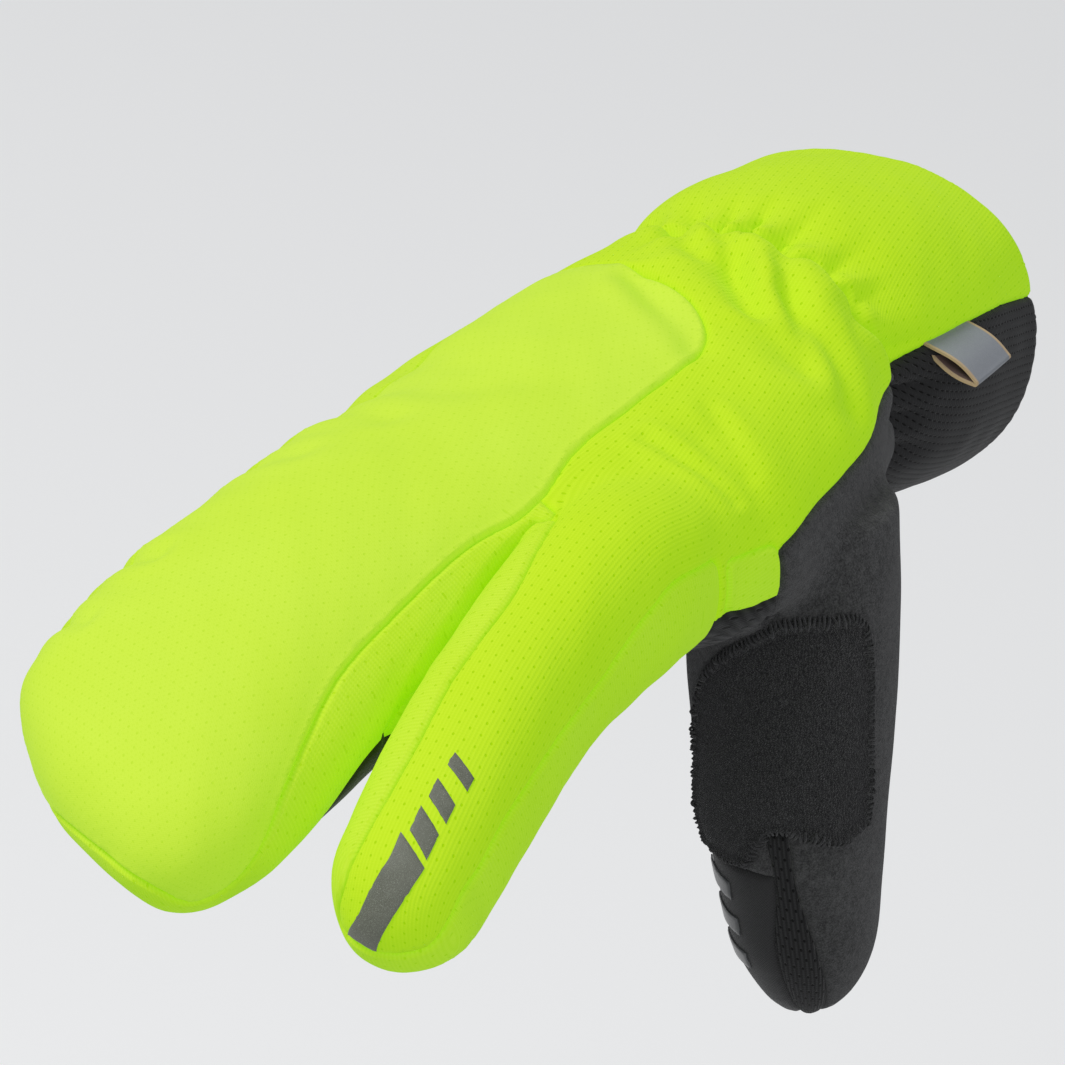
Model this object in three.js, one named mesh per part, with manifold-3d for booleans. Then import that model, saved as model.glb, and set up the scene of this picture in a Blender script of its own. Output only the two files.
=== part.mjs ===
import * as THREE from 'three';
import { mergeVertices } from 'three/addons/utils/BufferGeometryUtils.js';
import Module from 'manifold-3d';

// A padded winter lobster claw mitt for the right hand, in the shape that it has on a hand held palm down.
// +X is the thumb side, -Y is where the fingers point and +Z is the back of the hand.
// The origin is the middle of the cuff's mouth, where the hand goes in.
const wasm = await Module();
wasm.setup();

// Driving sizes, in millimetres
const handReach = 230; // from the wrist elastic to the tip of the three-finger pouch
const handWidth = 108; // across the hand at the root of the thumb
const handDepth = 58; // through the hand there
const cuffLength = 58;
const mouthWidth = 89;
const mouthDepth = 76;
const indexReach = 140; // from inside the hand to the tip of the index stall
const indexWidth = 35;
const indexDepth = 36;
const thumbReach = 114; // from inside the hand to the tip of the thumb
const thumbWidth = 44;
const thumbDepth = 40;
const backWall = 3.6; // padded back
const palmWall = 2.6; // palm, gussets and thumb
const seamGap = 0.35; // between two sewn pieces, and under what lies on the cloth
const patchThickness = 1.2;
const barThickness = 0.5;
const labelWidth = 20; // along the cuff's seam
const labelLength = 14; // out from the seam
const labelLoop = 3.2; // through the folded loop
const labelThickness = 0.7;
const mouthMargin = 3; // how far the hollow runs out of the mouth
const gatherDepth = 1.3; // of the puckers at the wrist elastic
const gatherSpread = 13; // how far they run to either side of it

// Other counts, and angles in degrees
const gatherCount = 15; // round the whole wrist
const cuffDroop = 16; // the forearm runs down and back from the level hand
const cuffSwing = 12; // and towards the little finger
const thumbTurn = 33; // the broad side of the thumb looks forward and out
const indexSplay = 10; // of the index stall's tip
const roundness = 2.2; // the power of a section's outline: 2 is an ellipse, and more is squarer
const foldGirth = 0.42; // the skin's length for each radian round the hand, as a share of its width
const thumbStart = 0.06; // where the thumb's fleece leaves the palm, as a share of its reach
const tipStart = 0.93; // where the gussets close round the tips, as a share of a branch's reach
const clearance = 1.25; // how far a zone of a whole branch reaches, for each half size of its section

// Turns the rows of a table into objects with the named columns
function table(columns, rows) {
  const names = columns.split(' ');
  return rows.map((row) => Object.fromEntries(names.map((name, i) => [name, row[i]])));
}

// The cuff, from the wrist elastic at 0 to the mouth at 1. Sizes are shares of the mouth's width and depth.
// side is how far the middle of a section is out to the thumb's side.
const cuffRows = table('at side half back palm', [
  [0.0, -0.054, 0.37, 0.38, 0.46],
  [0.22, -0.045, 0.46, 0.46, 0.47],
  [0.55, -0.02, 0.49, 0.50, 0.49],
  [1.0, 0.0, 0.5, 0.5, 0.5],
]);

// The hand and the pouch, from the wrist elastic at 0 to the pouch's tip at 1.
// side and half are shares of the hand's width; lift, back and palm of its depth; bend and skew are degrees.
const handRows = table('at side lift half back palm bend skew', [
  [0.0, -0.045, 0.0, 0.305, 0.50, 0.60, 0, 0],
  [0.06, -0.03, 0.0, 0.38, 0.57, 0.60, 0, 0],
  [0.15, -0.03, 0.0, 0.45, 0.58, 0.58, 0, 0],
  [0.26, -0.03, 0.0, 0.485, 0.55, 0.53, 0, 0],
  [0.37, -0.04, 0.0, 0.485, 0.51, 0.47, 2, 0],
  [0.47, -0.11, 0.0, 0.43, 0.48, 0.42, 4, 0],
  [0.56, -0.18, 0.01, 0.365, 0.46, 0.37, 5, 0],
  [0.67, -0.2, 0.0, 0.35, 0.42, 0.34, 8, 4],
  [0.78, -0.22, -0.05, 0.362, 0.39, 0.325, 12, 10],
  [0.9, -0.22, -0.14, 0.37, 0.35, 0.31, 20, 18],
  [1.0, -0.155, -0.26, 0.325, 0.29, 0.28, 28, 24],
]);

// The index stall, from inside the hand at 0 to its tip at 1.
// side and drop are shares of its reach; half of its width; back and palm of its depth; bend is degrees.
const indexRows = table('at side drop half back palm bend', [
  [0.0, 0.0, 0.0, 0.5, 0.5, 0.5, 0],
  [0.25, 0.005, -0.02, 0.525, 0.62, 0.54, 0],
  [0.5, 0.02, 0.0, 0.48, 0.54, 0.5, 6],
  [0.75, 0.058, 0.06, 0.47, 0.5, 0.48, 14],
  [1.0, 0.095, 0.16, 0.425, 0.42, 0.42, 22],
]);

// The thumb, from inside the hand at 0 to its tip at 1.
// out and fore are shares of its reach; half of its width; back and palm of its depth.
const thumbRows = table('at out fore half back palm', [
  [0.0, 0.0, 0.0, 0.5, 0.5, 0.5],
  [0.3, 0.045, 0.07, 0.505, 0.54, 0.54],
  [0.55, 0.088, 0.13, 0.455, 0.51, 0.51],
  [0.8, 0.138, 0.17, 0.36, 0.45, 0.45],
  [1.0, 0.165, 0.19, 0.31, 0.38, 0.38],
]);

// Where the index stall and the thumb start, as shares of the hand's reach, width and depth
const indexRoot = { at: 0.33, side: 0.25, lift: 0.02 };
const thumbRoot = { at: 0.2, side: 0.305, lift: -0.02 };

// Valleys in the padded cloth, each from one point of the hand to another, as shares of its reach and
// degrees round it from the thumb side. wide and deep are shares of the hand's depth.
const foldRows = table('at angle toAt toAngle wide deep', [
  [0.085, 86, 0.18, 54, 0.075, 0.05],
  [0.08, 100, 0.14, 74, 0.06, 0.03],
  [0.09, 64, 0.155, 30, 0.07, 0.04],
  [0.333, 52, 0.345, 20, 0.08, 0.025],
  [0.406, 152, 0.393, 108, 0.1, 0.03],
  [0.339, 140, 0.359, 98, 0.1, 0.02],
]);

// Where the sewn pieces end, round each branch, in degrees from the thumb side over the back.
// The smooth panel over the back of the hand and the pouch
const backPanelRows = table('at low high', [
  [0.13, 112, 138],
  [0.15, 96, 141],
  [0.175, 82, 142],
  [0.22, 72, 141],
  [0.33, 73, 138],
  [0.41, 70, 140],
  [0.49, 56, 142],
  [0.53, 49, 144],
  [0.6, 45, 145],
  [0.68, 42, 146],
  [0.76, 37, 146],
  [0.84, 20, 150],
  [0.89, -2, 154],
  [0.945, -2, 158],
  [0.984, 40, 159],
]);
// The strip that runs up the little finger's side, round the tip and back to the crotch
const pouchGussetRows = table('at low high', [
  [0.13, 128, 200],
  [0.16, 105, 200],
  [0.42, 105, 200],
  [0.5, 44, 200],
  [0.56, -14, 200],
  [0.7, -14, 200],
  [0.82, -50, 200],
  [1.06, -50, 200],
]);
const palmRows = table('at low high', [
  [0.0, 200, 346],
  [0.62, 200, 348],
  [0.7, 200, 358],
  [0.74, 200, 358],
  [0.78, 200, 350],
  [0.82, 200, 334],
  [0.87, 200, 322],
  [tipStart, 200, 315],
]);
const cuffUndersideRows = table('at low high', [
  [0.0, 160, 374],
  [0.25, 161, 379],
  [0.5, 161, 380],
  [1.2, 162, 378],
]);
// The fleece at the root of the thumb, up to the yellow cloth
const thumbRootRows = table('at low high', [
  [0.0, -70, 14],
  [0.08, -70, 17],
  [0.15, -72, 14],
  [0.27, -74, 14],
  [0.34, -74, 10],
]);
const webKnitRows = table('at low high', [
  [0.335, -54, -12],
  [0.42, -50, -12],
]);
const webRootRows = table('at low high', [
  [0.02, 99, 150],
  [0.14, 99, 150],
]);
const webGussetRows = table('at low high', [
  [0.34, -5, 13],
  [0.362, -12, 14.5],
  [0.404, -12, 16],
]);
const indexBackRows = table('at low high', [
  [0.1, 20, 124],
  [0.2, 22, 122],
  [0.28, 25, 120],
  [0.36, 20, 113],
  [0.48, 12, 104],
  [0.6, 15, 106],
  [0.67, 17, 108],
  [0.8, 24, 110],
  [0.87, 24, 114],
  [0.94, 10, 132],
  [0.985, -5, 150],
]);
// The gusset's start on the thumb's side of the stall
const indexFlankRows = table('at low high', [
  [0.15, -40, 27],
  [0.32, -40, 27],
]);
const indexGussetRows = table('at low high', [
  [0.3, -40, 204],
  [1.06, -40, 204],
]);
const indexUndersideRows = table('at low high', [
  [0.26, 204, 320],
  [tipStart, 204, 320],
]);
const thumbGussetRows = table('at low high', [
  [0.6, 98, 120],
  [0.8, 74, 106],
  [1.06, 50, 90],
]);
const thumbPadRows = table('at low high', [
  [0.6, 120, 236],
  [0.8, 106, 236],
  [1.06, 90, 236],
]);
const thumbPatchRows = table('at low high', [
  [0.145, 60, 100],
  [0.17, 52, 112],
  [0.24, 48, 135],
  [0.32, 46, 150],
  [0.47, 43, 160],
  [0.56, 46, 166],
  [0.595, 116, 168],
]);

// The corners of what lies on the cloth, in the same shares and degrees
const barRows = table('from to low high slant endSlant', [
  [0.763, 0.784, 59, 78, 0.022, 0.022],
  [0.806, 0.834, 62, 80, 0.025, 0.025],
  [0.849, 0.884, 63, 82, 0.027, 0.027],
  [0.89, 0.962, 63, 86, 0.028, 0.006],
]);
const gripRows = table('from to low high slant endSlant', [
  [0.68, 0.715, 144, 178, 0.0, 0.0],
  [0.75, 0.785, 142, 177, 0.0, 0.0],
  [0.82, 0.855, 140, 176, 0.0, 0.0],
]);
const labelAt = 0.31; // share of the cuff's length
const labelDroop = 0.47; // down for each length out

const { degToRad, clamp } = THREE.MathUtils;

// A smooth value of one column of a table between its rows, by a Catmull-Rom spline
function column(rows, name, wanted) {
  const at = clamp(wanted, rows[0].at, rows.at(-1).at);
  let i = 0;
  while (i < rows.length - 2 && at > rows[i + 1].at) i++;
  const row = (step) => rows[clamp(i + step, 0, rows.length - 1)];
  const [before, left, right, after] = [-1, 0, 1, 2].map(row);
  const span = right.at - left.at;
  const rise = (a, b) => ((b[name] - a[name]) / (b.at - a.at)) * span;
  const [m0, m1] = [rise(before, right), rise(left, after)];
  const t = (at - left.at) / span;
  const near = 2 * t ** 3 - 3 * t ** 2 + 1;
  const bends = (t - 2 * t ** 2 + t ** 3) * m0 + (t ** 3 - t ** 2) * m1;
  return near * left[name] + (1 - near) * right[name] + bends;
}

const evenSteps = (from, to, count) =>
  Array.from({ length: count + 1 }, (_, i) => from + ((to - from) * i) / count);
const evenAngles = (count) => evenSteps(0, 2 * Math.PI, count).slice(0, -1);

const cuffAxis = new THREE.Vector3(0, 1, 0).applyEuler(
  new THREE.Euler(-degToRad(cuffDroop), 0, degToRad(cuffSwing), 'ZYX'),
);
const wrist = cuffAxis.clone().multiplyScalar(-cuffLength);

// The directions across and out of the back of a ring that is bent down and skewed to the thumb side
function tilted(bend, skew) {
  const turn = new THREE.Euler(degToRad(bend), 0, -degToRad(skew), 'ZYX');
  return {
    right: new THREE.Vector3(1, 0, 0).applyEuler(turn),
    up: new THREE.Vector3(0, 0, 1).applyEuler(turn),
  };
}

const placeAlong = (root) =>
  new THREE.Vector3(root.side * handWidth, -root.at * handReach, root.lift * handDepth).add(wrist);

// The four branches. Each gives the frame and the half sizes of its section at a share of its length.
const cuff = {
  section(at) {
    const lean = clamp(at * 1.5, 0, 1);
    return {
      middle: new THREE.Vector3(column(cuffRows, 'side', at) * mouthWidth, 0, 0)
        .add(wrist)
        .addScaledVector(cuffAxis, at * cuffLength),
      ...tilted(-cuffDroop * lean, -cuffSwing * lean),
      half: column(cuffRows, 'half', at) * mouthWidth,
      back: column(cuffRows, 'back', at) * mouthDepth,
      palm: column(cuffRows, 'palm', at) * mouthDepth,
    };
  },
  reach: cuffLength,
  endShares: null,
};
const hand = {
  section(at, reach = handReach) {
    const value = (name) => column(handRows, name, at);
    return {
      middle: new THREE.Vector3(value('side') * handWidth, -at * reach, value('lift') * handDepth)
        .add(wrist),
      ...tilted(value('bend'), value('skew')),
      half: value('half') * handWidth,
      back: value('back') * handDepth,
      palm: value('palm') * handDepth,
    };
  },
  reach: handReach,
  endShares: { across: 0.14, through: 0.08 },
};
const index = {
  section(at, reach = indexReach) {
    const value = (name) => column(indexRows, name, at);
    return {
      middle: placeAlong(indexRoot).add(
        new THREE.Vector3(value('side') * indexReach, -at * reach, -value('drop') * indexReach),
      ),
      ...tilted(value('bend'), -indexSplay * at),
      half: value('half') * indexWidth,
      back: value('back') * indexDepth,
      palm: value('palm') * indexDepth,
    };
  },
  reach: indexReach,
  endShares: { across: 0.11, through: 0.1 },
};
const thumb = {
  section(at, reach = thumbReach) {
    const value = (name) => column(thumbRows, name, at);
    const turn = degToRad(thumbTurn);
    return {
      middle: placeAlong(thumbRoot).add(
        new THREE.Vector3(value('out') * thumbReach, -value('fore') * thumbReach, -at * reach),
      ),
      right: new THREE.Vector3(Math.cos(turn), Math.sin(turn), 0),
      up: new THREE.Vector3(Math.sin(turn), -Math.cos(turn), 0),
      half: value('half') * thumbWidth,
      back: value('back') * thumbDepth,
      palm: value('palm') * thumbDepth,
    };
  },
  reach: thumbReach,
  endShares: { across: 0.22, through: 0.22 },
};

// The puckers at the wrist elastic and the folds of the hand, outwards, at a distance along from the elastic
function relief(along, angle) {
  const turn = angle > 1.5 * Math.PI ? angle - 2 * Math.PI : angle; // the thumb side's underside is below 0
  const over = 0.35 + 0.65 * clamp(0.5 + Math.sin(turn), 0, 1);
  const pucker = Math.cos(gatherCount * turn) * Math.exp(-((along / gatherSpread) ** 2));
  let height = gatherDepth * over * pucker;
  const girth = handWidth * foldGirth;
  for (const fold of foldRows) {
    const start = new THREE.Vector2(fold.at * handReach, degToRad(fold.angle) * girth);
    const end = new THREE.Vector2(fold.toAt * handReach, degToRad(fold.toAngle) * girth);
    const line = end.clone().sub(start);
    const point = new THREE.Vector2(along, turn * girth).sub(start);
    const share = clamp(point.dot(line) / line.lengthSq(), 0, 1);
    const away = point.addScaledVector(line, -share).length() / (fold.wide * handDepth);
    height -= fold.deep * handDepth * Math.exp(-(away ** 2));
  }
  return height;
}

// The rounding of a branch's end: 1 along it, and down to 0 over the last share of its length
const rounding = (at, share) => Math.sqrt(Math.max(0, 1 - Math.max(0, (at - 1 + share) / share) ** 2));

// How much a wall takes off a half size, less where the branch is slim
const inset = (half, wall) => half - wall * Math.min(1, half / (4 * wall));

// One ring of a branch's skin. grow lifts it off the cloth, and walls put it inside.
function skinRing(branch, at, angles, { grow = 0, walls = null, folds = null } = {}) {
  const ring = branch.section(at, walls ? branch.reach - walls.side : branch.reach + grow);
  const shares = branch.endShares;
  const size = (full, wall, share) => {
    const half = walls ? inset(full, wall) : full + grow;
    return half * (shares ? rounding(at, share) : 1);
  };
  const half = size(ring.half, walls?.side, shares?.across);
  const back = size(ring.back, walls?.back, shares?.through);
  const palm = size(ring.palm, walls?.side, shares?.through);
  const power = 2 / roundness;
  return angles.map((angle) => {
    const [c, s] = [Math.cos(angle), Math.sin(angle)];
    const lift = folds ? folds(at, angle) * (shares ? rounding(at, shares.through) : 1) : 0;
    const across = Math.sign(c) * Math.abs(c) ** power * half + c * lift;
    const above = Math.sign(s) * Math.abs(s) ** power * (s > 0 ? back : palm) + s * lift;
    return ring.middle.clone().addScaledVector(ring.right, across).addScaledVector(ring.up, above);
  });
}

// A closed skin through rings of points, with a flat fan at each end
function loft(rings) {
  const count = rings[0].length;
  const middleOf = (ring) => ring.reduce((sum, p) => sum.add(p), new THREE.Vector3()).divideScalar(count);
  const points = [...rings.flat(), middleOf(rings[0]), middleOf(rings.at(-1))];
  const [first, last] = [points.length - 2, points.length - 1];
  const end = (rings.length - 1) * count;
  const faces = [];
  for (let j = 0; j < count; j++) {
    const k = (j + 1) % count;
    faces.push(first, k, j);
    for (let i = 0; i < rings.length - 1; i++) {
      const [a, b] = [i * count, (i + 1) * count];
      faces.push(a + j, a + k, b + j, a + k, b + k, b + j);
    }
    faces.push(last, end + j, end + k);
  }
  return new THREE.BufferGeometry().setFromPoints(points).setIndex(faces);
}

// A closed geometry as a solid that can be joined and cut
function solid(geometry) {
  geometry.deleteAttribute('normal');
  geometry.deleteAttribute('uv');
  const merged = mergeVertices(geometry, 1e-4);
  const vertProperties = merged.attributes.position.array;
  const triVerts = new Uint32Array(merged.index.array);
  const made = new wasm.Manifold(new wasm.Mesh({ numProp: 3, vertProperties, triVerts }));
  if (made.volume() > 0) return made;
  triVerts.reverse();
  return new wasm.Manifold(new wasm.Mesh({ numProp: 3, vertProperties, triVerts }));
}

const stations = {
  hand: [...evenSteps(0, 0.18, 8), ...evenSteps(0.23, 0.86, 6), ...evenSteps(0.91, 0.998, 3)],
  index: [...evenSteps(0.1, 0.86, 5), ...evenSteps(0.91, 0.998, 3)],
  thumb: [...evenSteps(0, 0.76, 5), ...evenSteps(0.84, 0.998, 3)],
};

const alongHand = (at, angle) => relief(at * handReach, angle);
const alongCuff = (at, angle) => relief(-at * cuffLength, angle);
const trunkSkin = (grow) => {
  const angles = evenAngles(3 * gatherCount);
  return solid(
    loft([
      ...evenSteps(1, 0.1, 6).map((at) => skinRing(cuff, at, angles, { grow, folds: alongCuff })),
      ...stations.hand.map((at) => skinRing(hand, at, angles, { grow, folds: alongHand })),
    ]),
  );
};
const stallSkin = (branch, where, grow) =>
  solid(loft(where.map((at) => skinRing(branch, at, evenAngles(16), { grow }))));

const walls = { back: backWall, side: palmWall };
const thin = { back: palmWall, side: palmWall };
const pastMouth = 1 + mouthMargin / cuffLength;
const trunkHollow = solid(
  loft([
    ...evenSteps(pastMouth, 0.2, 3).map((at) => skinRing(cuff, at, evenAngles(22), { walls })),
    ...[...evenSteps(0, 0.84, 7), ...evenSteps(0.91, 0.99, 2)].map((at) =>
      skinRing(hand, at, evenAngles(22), { walls }),
    ),
  ]),
);
const stallHollow = (branch) => {
  const where = [...evenSteps(0.02, 0.8, 4), ...evenSteps(0.88, 0.99, 2)];
  return solid(loft(where.map((at) => skinRing(branch, at, evenAngles(12), { walls: thin }))));
};

// The sector of a branch that a table of angles bounds, from its middle line out past its skin.
// grow widens it by a gap all round, so that what is left stays clear of the piece cut with it.
function sector(branch, rows, { out = 1.5, grow = 0, count = 16 } = {}) {
  const slack = grow / branch.reach;
  const where = evenSteps(rows[0].at, rows.at(-1).at, count);
  where[0] -= slack;
  where[count] += slack;
  const rings = where.map((at) => {
    const ring = branch.section(at);
    const gap = grow / Math.min(ring.half, ring.back, ring.palm);
    const low = degToRad(column(rows, 'low', at));
    const high = degToRad(column(rows, 'high', at));
    const far = out + gap;
    const rim = evenSteps(low, high, 10).map((angle) => [Math.cos(angle) * far, Math.sin(angle) * far]);
    rim[0] = [rim[0][0] + Math.sin(low) * gap, rim[0][1] - Math.cos(low) * gap];
    rim[10] = [rim[10][0] - Math.sin(high) * gap, rim[10][1] + Math.cos(high) * gap];
    const back = gap / Math.sin((high - low) / 2);
    const middle = (low + high) / 2;
    return [[-Math.cos(middle) * back, -Math.sin(middle) * back], ...rim].map(([across, above]) =>
      ring.middle
        .clone()
        .addScaledVector(ring.right, across * ring.half)
        .addScaledVector(ring.up, above * (above > 0 ? ring.back : ring.palm)),
    );
  });
  return solid(loft(rings));
}

const largest = (body) => body.decompose().sort((a, b) => b.volume() - a.volume())[0];

const skin = (grow) => ({
  trunk: trunkSkin(grow),
  index: stallSkin(index, stations.index, grow),
  thumb: stallSkin(thumb, stations.thumb, grow),
});
const outer = skin(0);
const lifted = skin(seamGap);
const liftedAll = lifted.trunk.add(lifted.index).add(lifted.thumb);
let cloth = outer.trunk
  .add(outer.index)
  .add(outer.thumb)
  .subtract(trunkHollow.add(stallHollow(index)).add(stallHollow(thumb)));

// Cuts a piece out of the cloth, with a seam's gap left round it
function cut(...zones) {
  const joined = (grow) => zones.map((zone) => zone(grow)).reduce((a, b) => a.add(b));
  const piece = largest(cloth.intersect(joined(0)));
  cloth = cloth.subtract(joined(seamGap));
  return piece;
}
const zone = (branch, rows, options) => (grow) => sector(branch, rows, { ...options, grow });

// The whole of a branch between two shares of its length, with room outside its skin
const around = (branch, from, to, count) => (grow) => {
  const slack = grow / branch.reach;
  const rings = evenSteps(from - slack, to + slack, count).map((at) => {
    const ring = branch.section(at);
    return evenAngles(16).map((angle) =>
      ring.middle
        .clone()
        .addScaledVector(ring.right, Math.cos(angle) * (ring.half * clearance + grow))
        .addScaledVector(ring.up, Math.sin(angle) * (ring.back * clearance + grow)),
    );
  });
  return solid(loft(rings));
};
const thumbZone = around(thumb, thumbStart, 1.1, 6);
const pouchTipZone = around(hand, tipStart, 1.06, 3);
const indexTipZone = around(index, tipStart, 1.06, 3);

// The sides and the tip of the index stall, round its back
const indexGussetZone = (grow) =>
  sector(index, indexGussetRows, { out: 1.12, count: 10, grow })
    .add(sector(index, indexFlankRows, { out: 1.12, count: 2, grow }))
    .add(indexTipZone(grow))
    .subtract(sector(index, indexBackRows, { out: 1.3, count: 14, grow: seamGap - grow }));

const sewn = {};
sewn.cuff_underside = cut(zone(cuff, cuffUndersideRows, { count: 6 }));
sewn.thumb_gusset = cut(zone(thumb, thumbGussetRows, { out: 1.3, count: 6 }));
sewn.thumb_pad = cut(zone(thumb, thumbPadRows, { out: 1.3, count: 6 }));
sewn.web_gusset = cut(zone(hand, webGussetRows, { out: 1.6, count: 3 }));
sewn.web_knit = cut(
  zone(hand, webKnitRows, { out: 1.3, count: 4 }),
  zone(thumb, webRootRows, { out: 1.3, count: 2 }),
);
sewn.thumb_fleece = cut(zone(hand, thumbRootRows, { out: 1.3, count: 6 }), thumbZone);
sewn.index_gusset = cut(indexGussetZone);
sewn.back_panel = cut(zone(hand, backPanelRows, { out: 1.15, count: 20 }));
sewn.palm_panel = cut(
  zone(hand, palmRows, { out: 1.25, count: 12 }),
  zone(index, indexUndersideRows, { out: 1.15, count: 8 }),
);
sewn.pouch_gusset = cut(zone(hand, pouchGussetRows, { out: 1.1, count: 14 }), pouchTipZone);
sewn.knit_panel = largest(cloth);

// The block over a slanted four-sided field of a branch's skin, from inside it to outside
function field(branch, { from, to, low, high, slant, endSlant }) {
  const sections = evenSteps(low, high, 3).map((angle) => {
    const late = (high - angle) / (high - low);
    const [start, end] = [from + slant * late, to + endSlant * late];
    const corners = [
      [start, 0.6],
      [start, 1.3],
      [end, 1.3],
      [end, 0.6],
    ];
    return corners.map(([at, out]) => {
      const ring = branch.section(at);
      return ring.middle
        .clone()
        .addScaledVector(ring.right, Math.cos(degToRad(angle)) * ring.half * out)
        .addScaledVector(ring.up, Math.sin(degToRad(angle)) * ring.back * out);
    });
  });
  return solid(loft(sections));
}

// A thin layer that lies on the cloth, inside a block
const layer = (branch, where, thickness, block) =>
  largest(stallSkin(branch, where, seamGap + thickness).subtract(liftedAll).intersect(block));

const laid = {
  thumb_patch: layer(
    thumb,
    stations.thumb,
    patchThickness,
    sector(thumb, thumbPatchRows, { out: 1.3, count: 4 }),
  ),
};
gripRows.forEach((row, i) => {
  laid[`thumb_grip_${i + 1}`] = layer(thumb, stations.thumb, barThickness, field(thumb, row));
});
barRows.forEach((row, i) => {
  laid[`reflective_bar_${i + 1}`] = layer(index, stations.index, barThickness, field(index, row));
});

// A point of the cuff's seam on the thumb side
function seamPoint(at) {
  const ring = cuff.section(at);
  const angle = degToRad(column(cuffUndersideRows, 'high', at));
  return ring.middle
    .clone()
    .addScaledVector(ring.right, Math.cos(angle) * ring.half)
    .addScaledVector(ring.up, Math.sin(angle) * ring.back);
}

// The folded label: a loop of ribbon that stands out from the cuff's seam, open at both edges
function label() {
  const [outside, inside] = [labelLoop / 2, labelLoop / 2 - labelThickness];
  const rooted = -labelLoop;
  const outline = new THREE.Shape();
  outline.moveTo(rooted, outside);
  outline.lineTo(labelLength - outside, outside);
  outline.absarc(labelLength - outside, 0, outside, Math.PI / 2, -Math.PI / 2, true);
  outline.lineTo(rooted, -outside);
  outline.lineTo(rooted, -inside);
  outline.lineTo(labelLength - outside, -inside);
  outline.absarc(labelLength - outside, 0, inside, -Math.PI / 2, Math.PI / 2, false);
  outline.lineTo(rooted, inside);
  const ribbon = new THREE.ExtrudeGeometry(outline, {
    depth: labelWidth,
    bevelEnabled: false,
    curveSegments: 5,
  });
  ribbon.translate(0, 0, -labelWidth / 2);
  const [before, root, after] = [-0.1, 0, 0.1].map((step) => seamPoint(labelAt + step));
  const seam = after.clone().sub(before).normalize();
  const ring = cuff.section(labelAt);
  const out = ring.right.clone().addScaledVector(ring.up, -labelDroop).normalize();
  const across = seam.clone().cross(out).normalize();
  const along = out.clone().cross(across);
  ribbon.applyMatrix4(new THREE.Matrix4().makeBasis(out, across, along).setPosition(root));
  return largest(solid(ribbon).subtract(liftedAll));
}

const fluorescent = new THREE.MeshStandardMaterial({ color: 0xb4ea1c, roughness: 0.75 });
const knit = new THREE.MeshStandardMaterial({ color: 0xa6e312, roughness: 0.9 });
const gusset = new THREE.MeshStandardMaterial({ color: 0xb9e62e, roughness: 0.9 });
const fleece = new THREE.MeshStandardMaterial({ color: 0x2b2b2c, roughness: 1 });
const palmCloth = new THREE.MeshStandardMaterial({ color: 0x1b1b1c, roughness: 0.8 });
const blackKnit = new THREE.MeshStandardMaterial({ color: 0x202022, roughness: 0.95 });
const terry = new THREE.MeshStandardMaterial({ color: 0x262627, roughness: 1 });
const rubber = new THREE.MeshStandardMaterial({ color: 0x55575a, roughness: 0.35 });
const reflective = new THREE.MeshStandardMaterial({ color: 0x7d8a4a, roughness: 0.4 });
const ribbonCloth = new THREE.MeshStandardMaterial({ color: 0x8d9096, roughness: 0.7 });

const finishes = {
  cuff_underside: blackKnit,
  thumb_gusset: blackKnit,
  thumb_pad: palmCloth,
  web_gusset: gusset,
  web_knit: blackKnit,
  thumb_fleece: fleece,
  index_gusset: gusset,
  back_panel: fluorescent,
  palm_panel: palmCloth,
  pouch_gusset: gusset,
  knit_panel: knit,
  thumb_patch: terry,
  label_loop: ribbonCloth,
};

function meshOf(name, body) {
  const { vertProperties, triVerts } = body.getMesh();
  const geometry = new THREE.BufferGeometry();
  geometry.setAttribute('position', new THREE.BufferAttribute(new Float32Array(vertProperties), 3));
  geometry.setIndex(new THREE.BufferAttribute(new Uint32Array(triVerts), 1));
  geometry.computeVertexNormals();
  const finish = finishes[name] ?? (name.startsWith('thumb_grip') ? rubber : reflective);
  const mesh = new THREE.Mesh(geometry, finish.clone());
  mesh.name = name;
  return mesh;
}

const mitt = new THREE.Group();
for (const [name, body] of Object.entries({ ...sewn, ...laid, label_loop: label() })) {
  mitt.add(meshOf(name, body));
}
export default mitt;
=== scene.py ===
import math
from collections import namedtuple

import bpy
import numpy as np
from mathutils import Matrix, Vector
from mathutils.kdtree import KDTree


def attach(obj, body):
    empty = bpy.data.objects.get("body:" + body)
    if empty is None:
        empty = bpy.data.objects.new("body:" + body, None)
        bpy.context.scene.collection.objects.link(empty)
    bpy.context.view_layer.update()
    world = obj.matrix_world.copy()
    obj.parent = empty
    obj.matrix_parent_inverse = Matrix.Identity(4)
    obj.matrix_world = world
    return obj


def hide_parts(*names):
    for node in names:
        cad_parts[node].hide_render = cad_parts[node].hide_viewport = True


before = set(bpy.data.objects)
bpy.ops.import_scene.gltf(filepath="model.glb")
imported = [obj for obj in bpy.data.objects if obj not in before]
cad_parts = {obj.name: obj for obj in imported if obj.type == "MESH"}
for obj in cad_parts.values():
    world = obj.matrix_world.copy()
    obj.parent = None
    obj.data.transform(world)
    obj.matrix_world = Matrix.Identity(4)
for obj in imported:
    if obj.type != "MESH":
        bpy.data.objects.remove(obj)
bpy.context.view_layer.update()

# Sizes in millimetres and angles in degrees, as in the part's source. Meshes are written in metres.
MM = 0.001
HAND_REACH = 230
HAND_WIDTH = 108
HAND_DEPTH = 58
CUFF_LENGTH = 58
MOUTH_WIDTH = 89
MOUTH_DEPTH = 76
INDEX_REACH = 140
INDEX_WIDTH = 35
INDEX_DEPTH = 36
THUMB_REACH = 114
THUMB_WIDTH = 44
THUMB_DEPTH = 40
CUFF_DROOP = 16
CUFF_SWING = 12
THUMB_TURN = 33
INDEX_SPLAY = 10
ROUNDNESS = 2.2
THUMB_START = 0.06
TIP_START = 0.93
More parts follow.
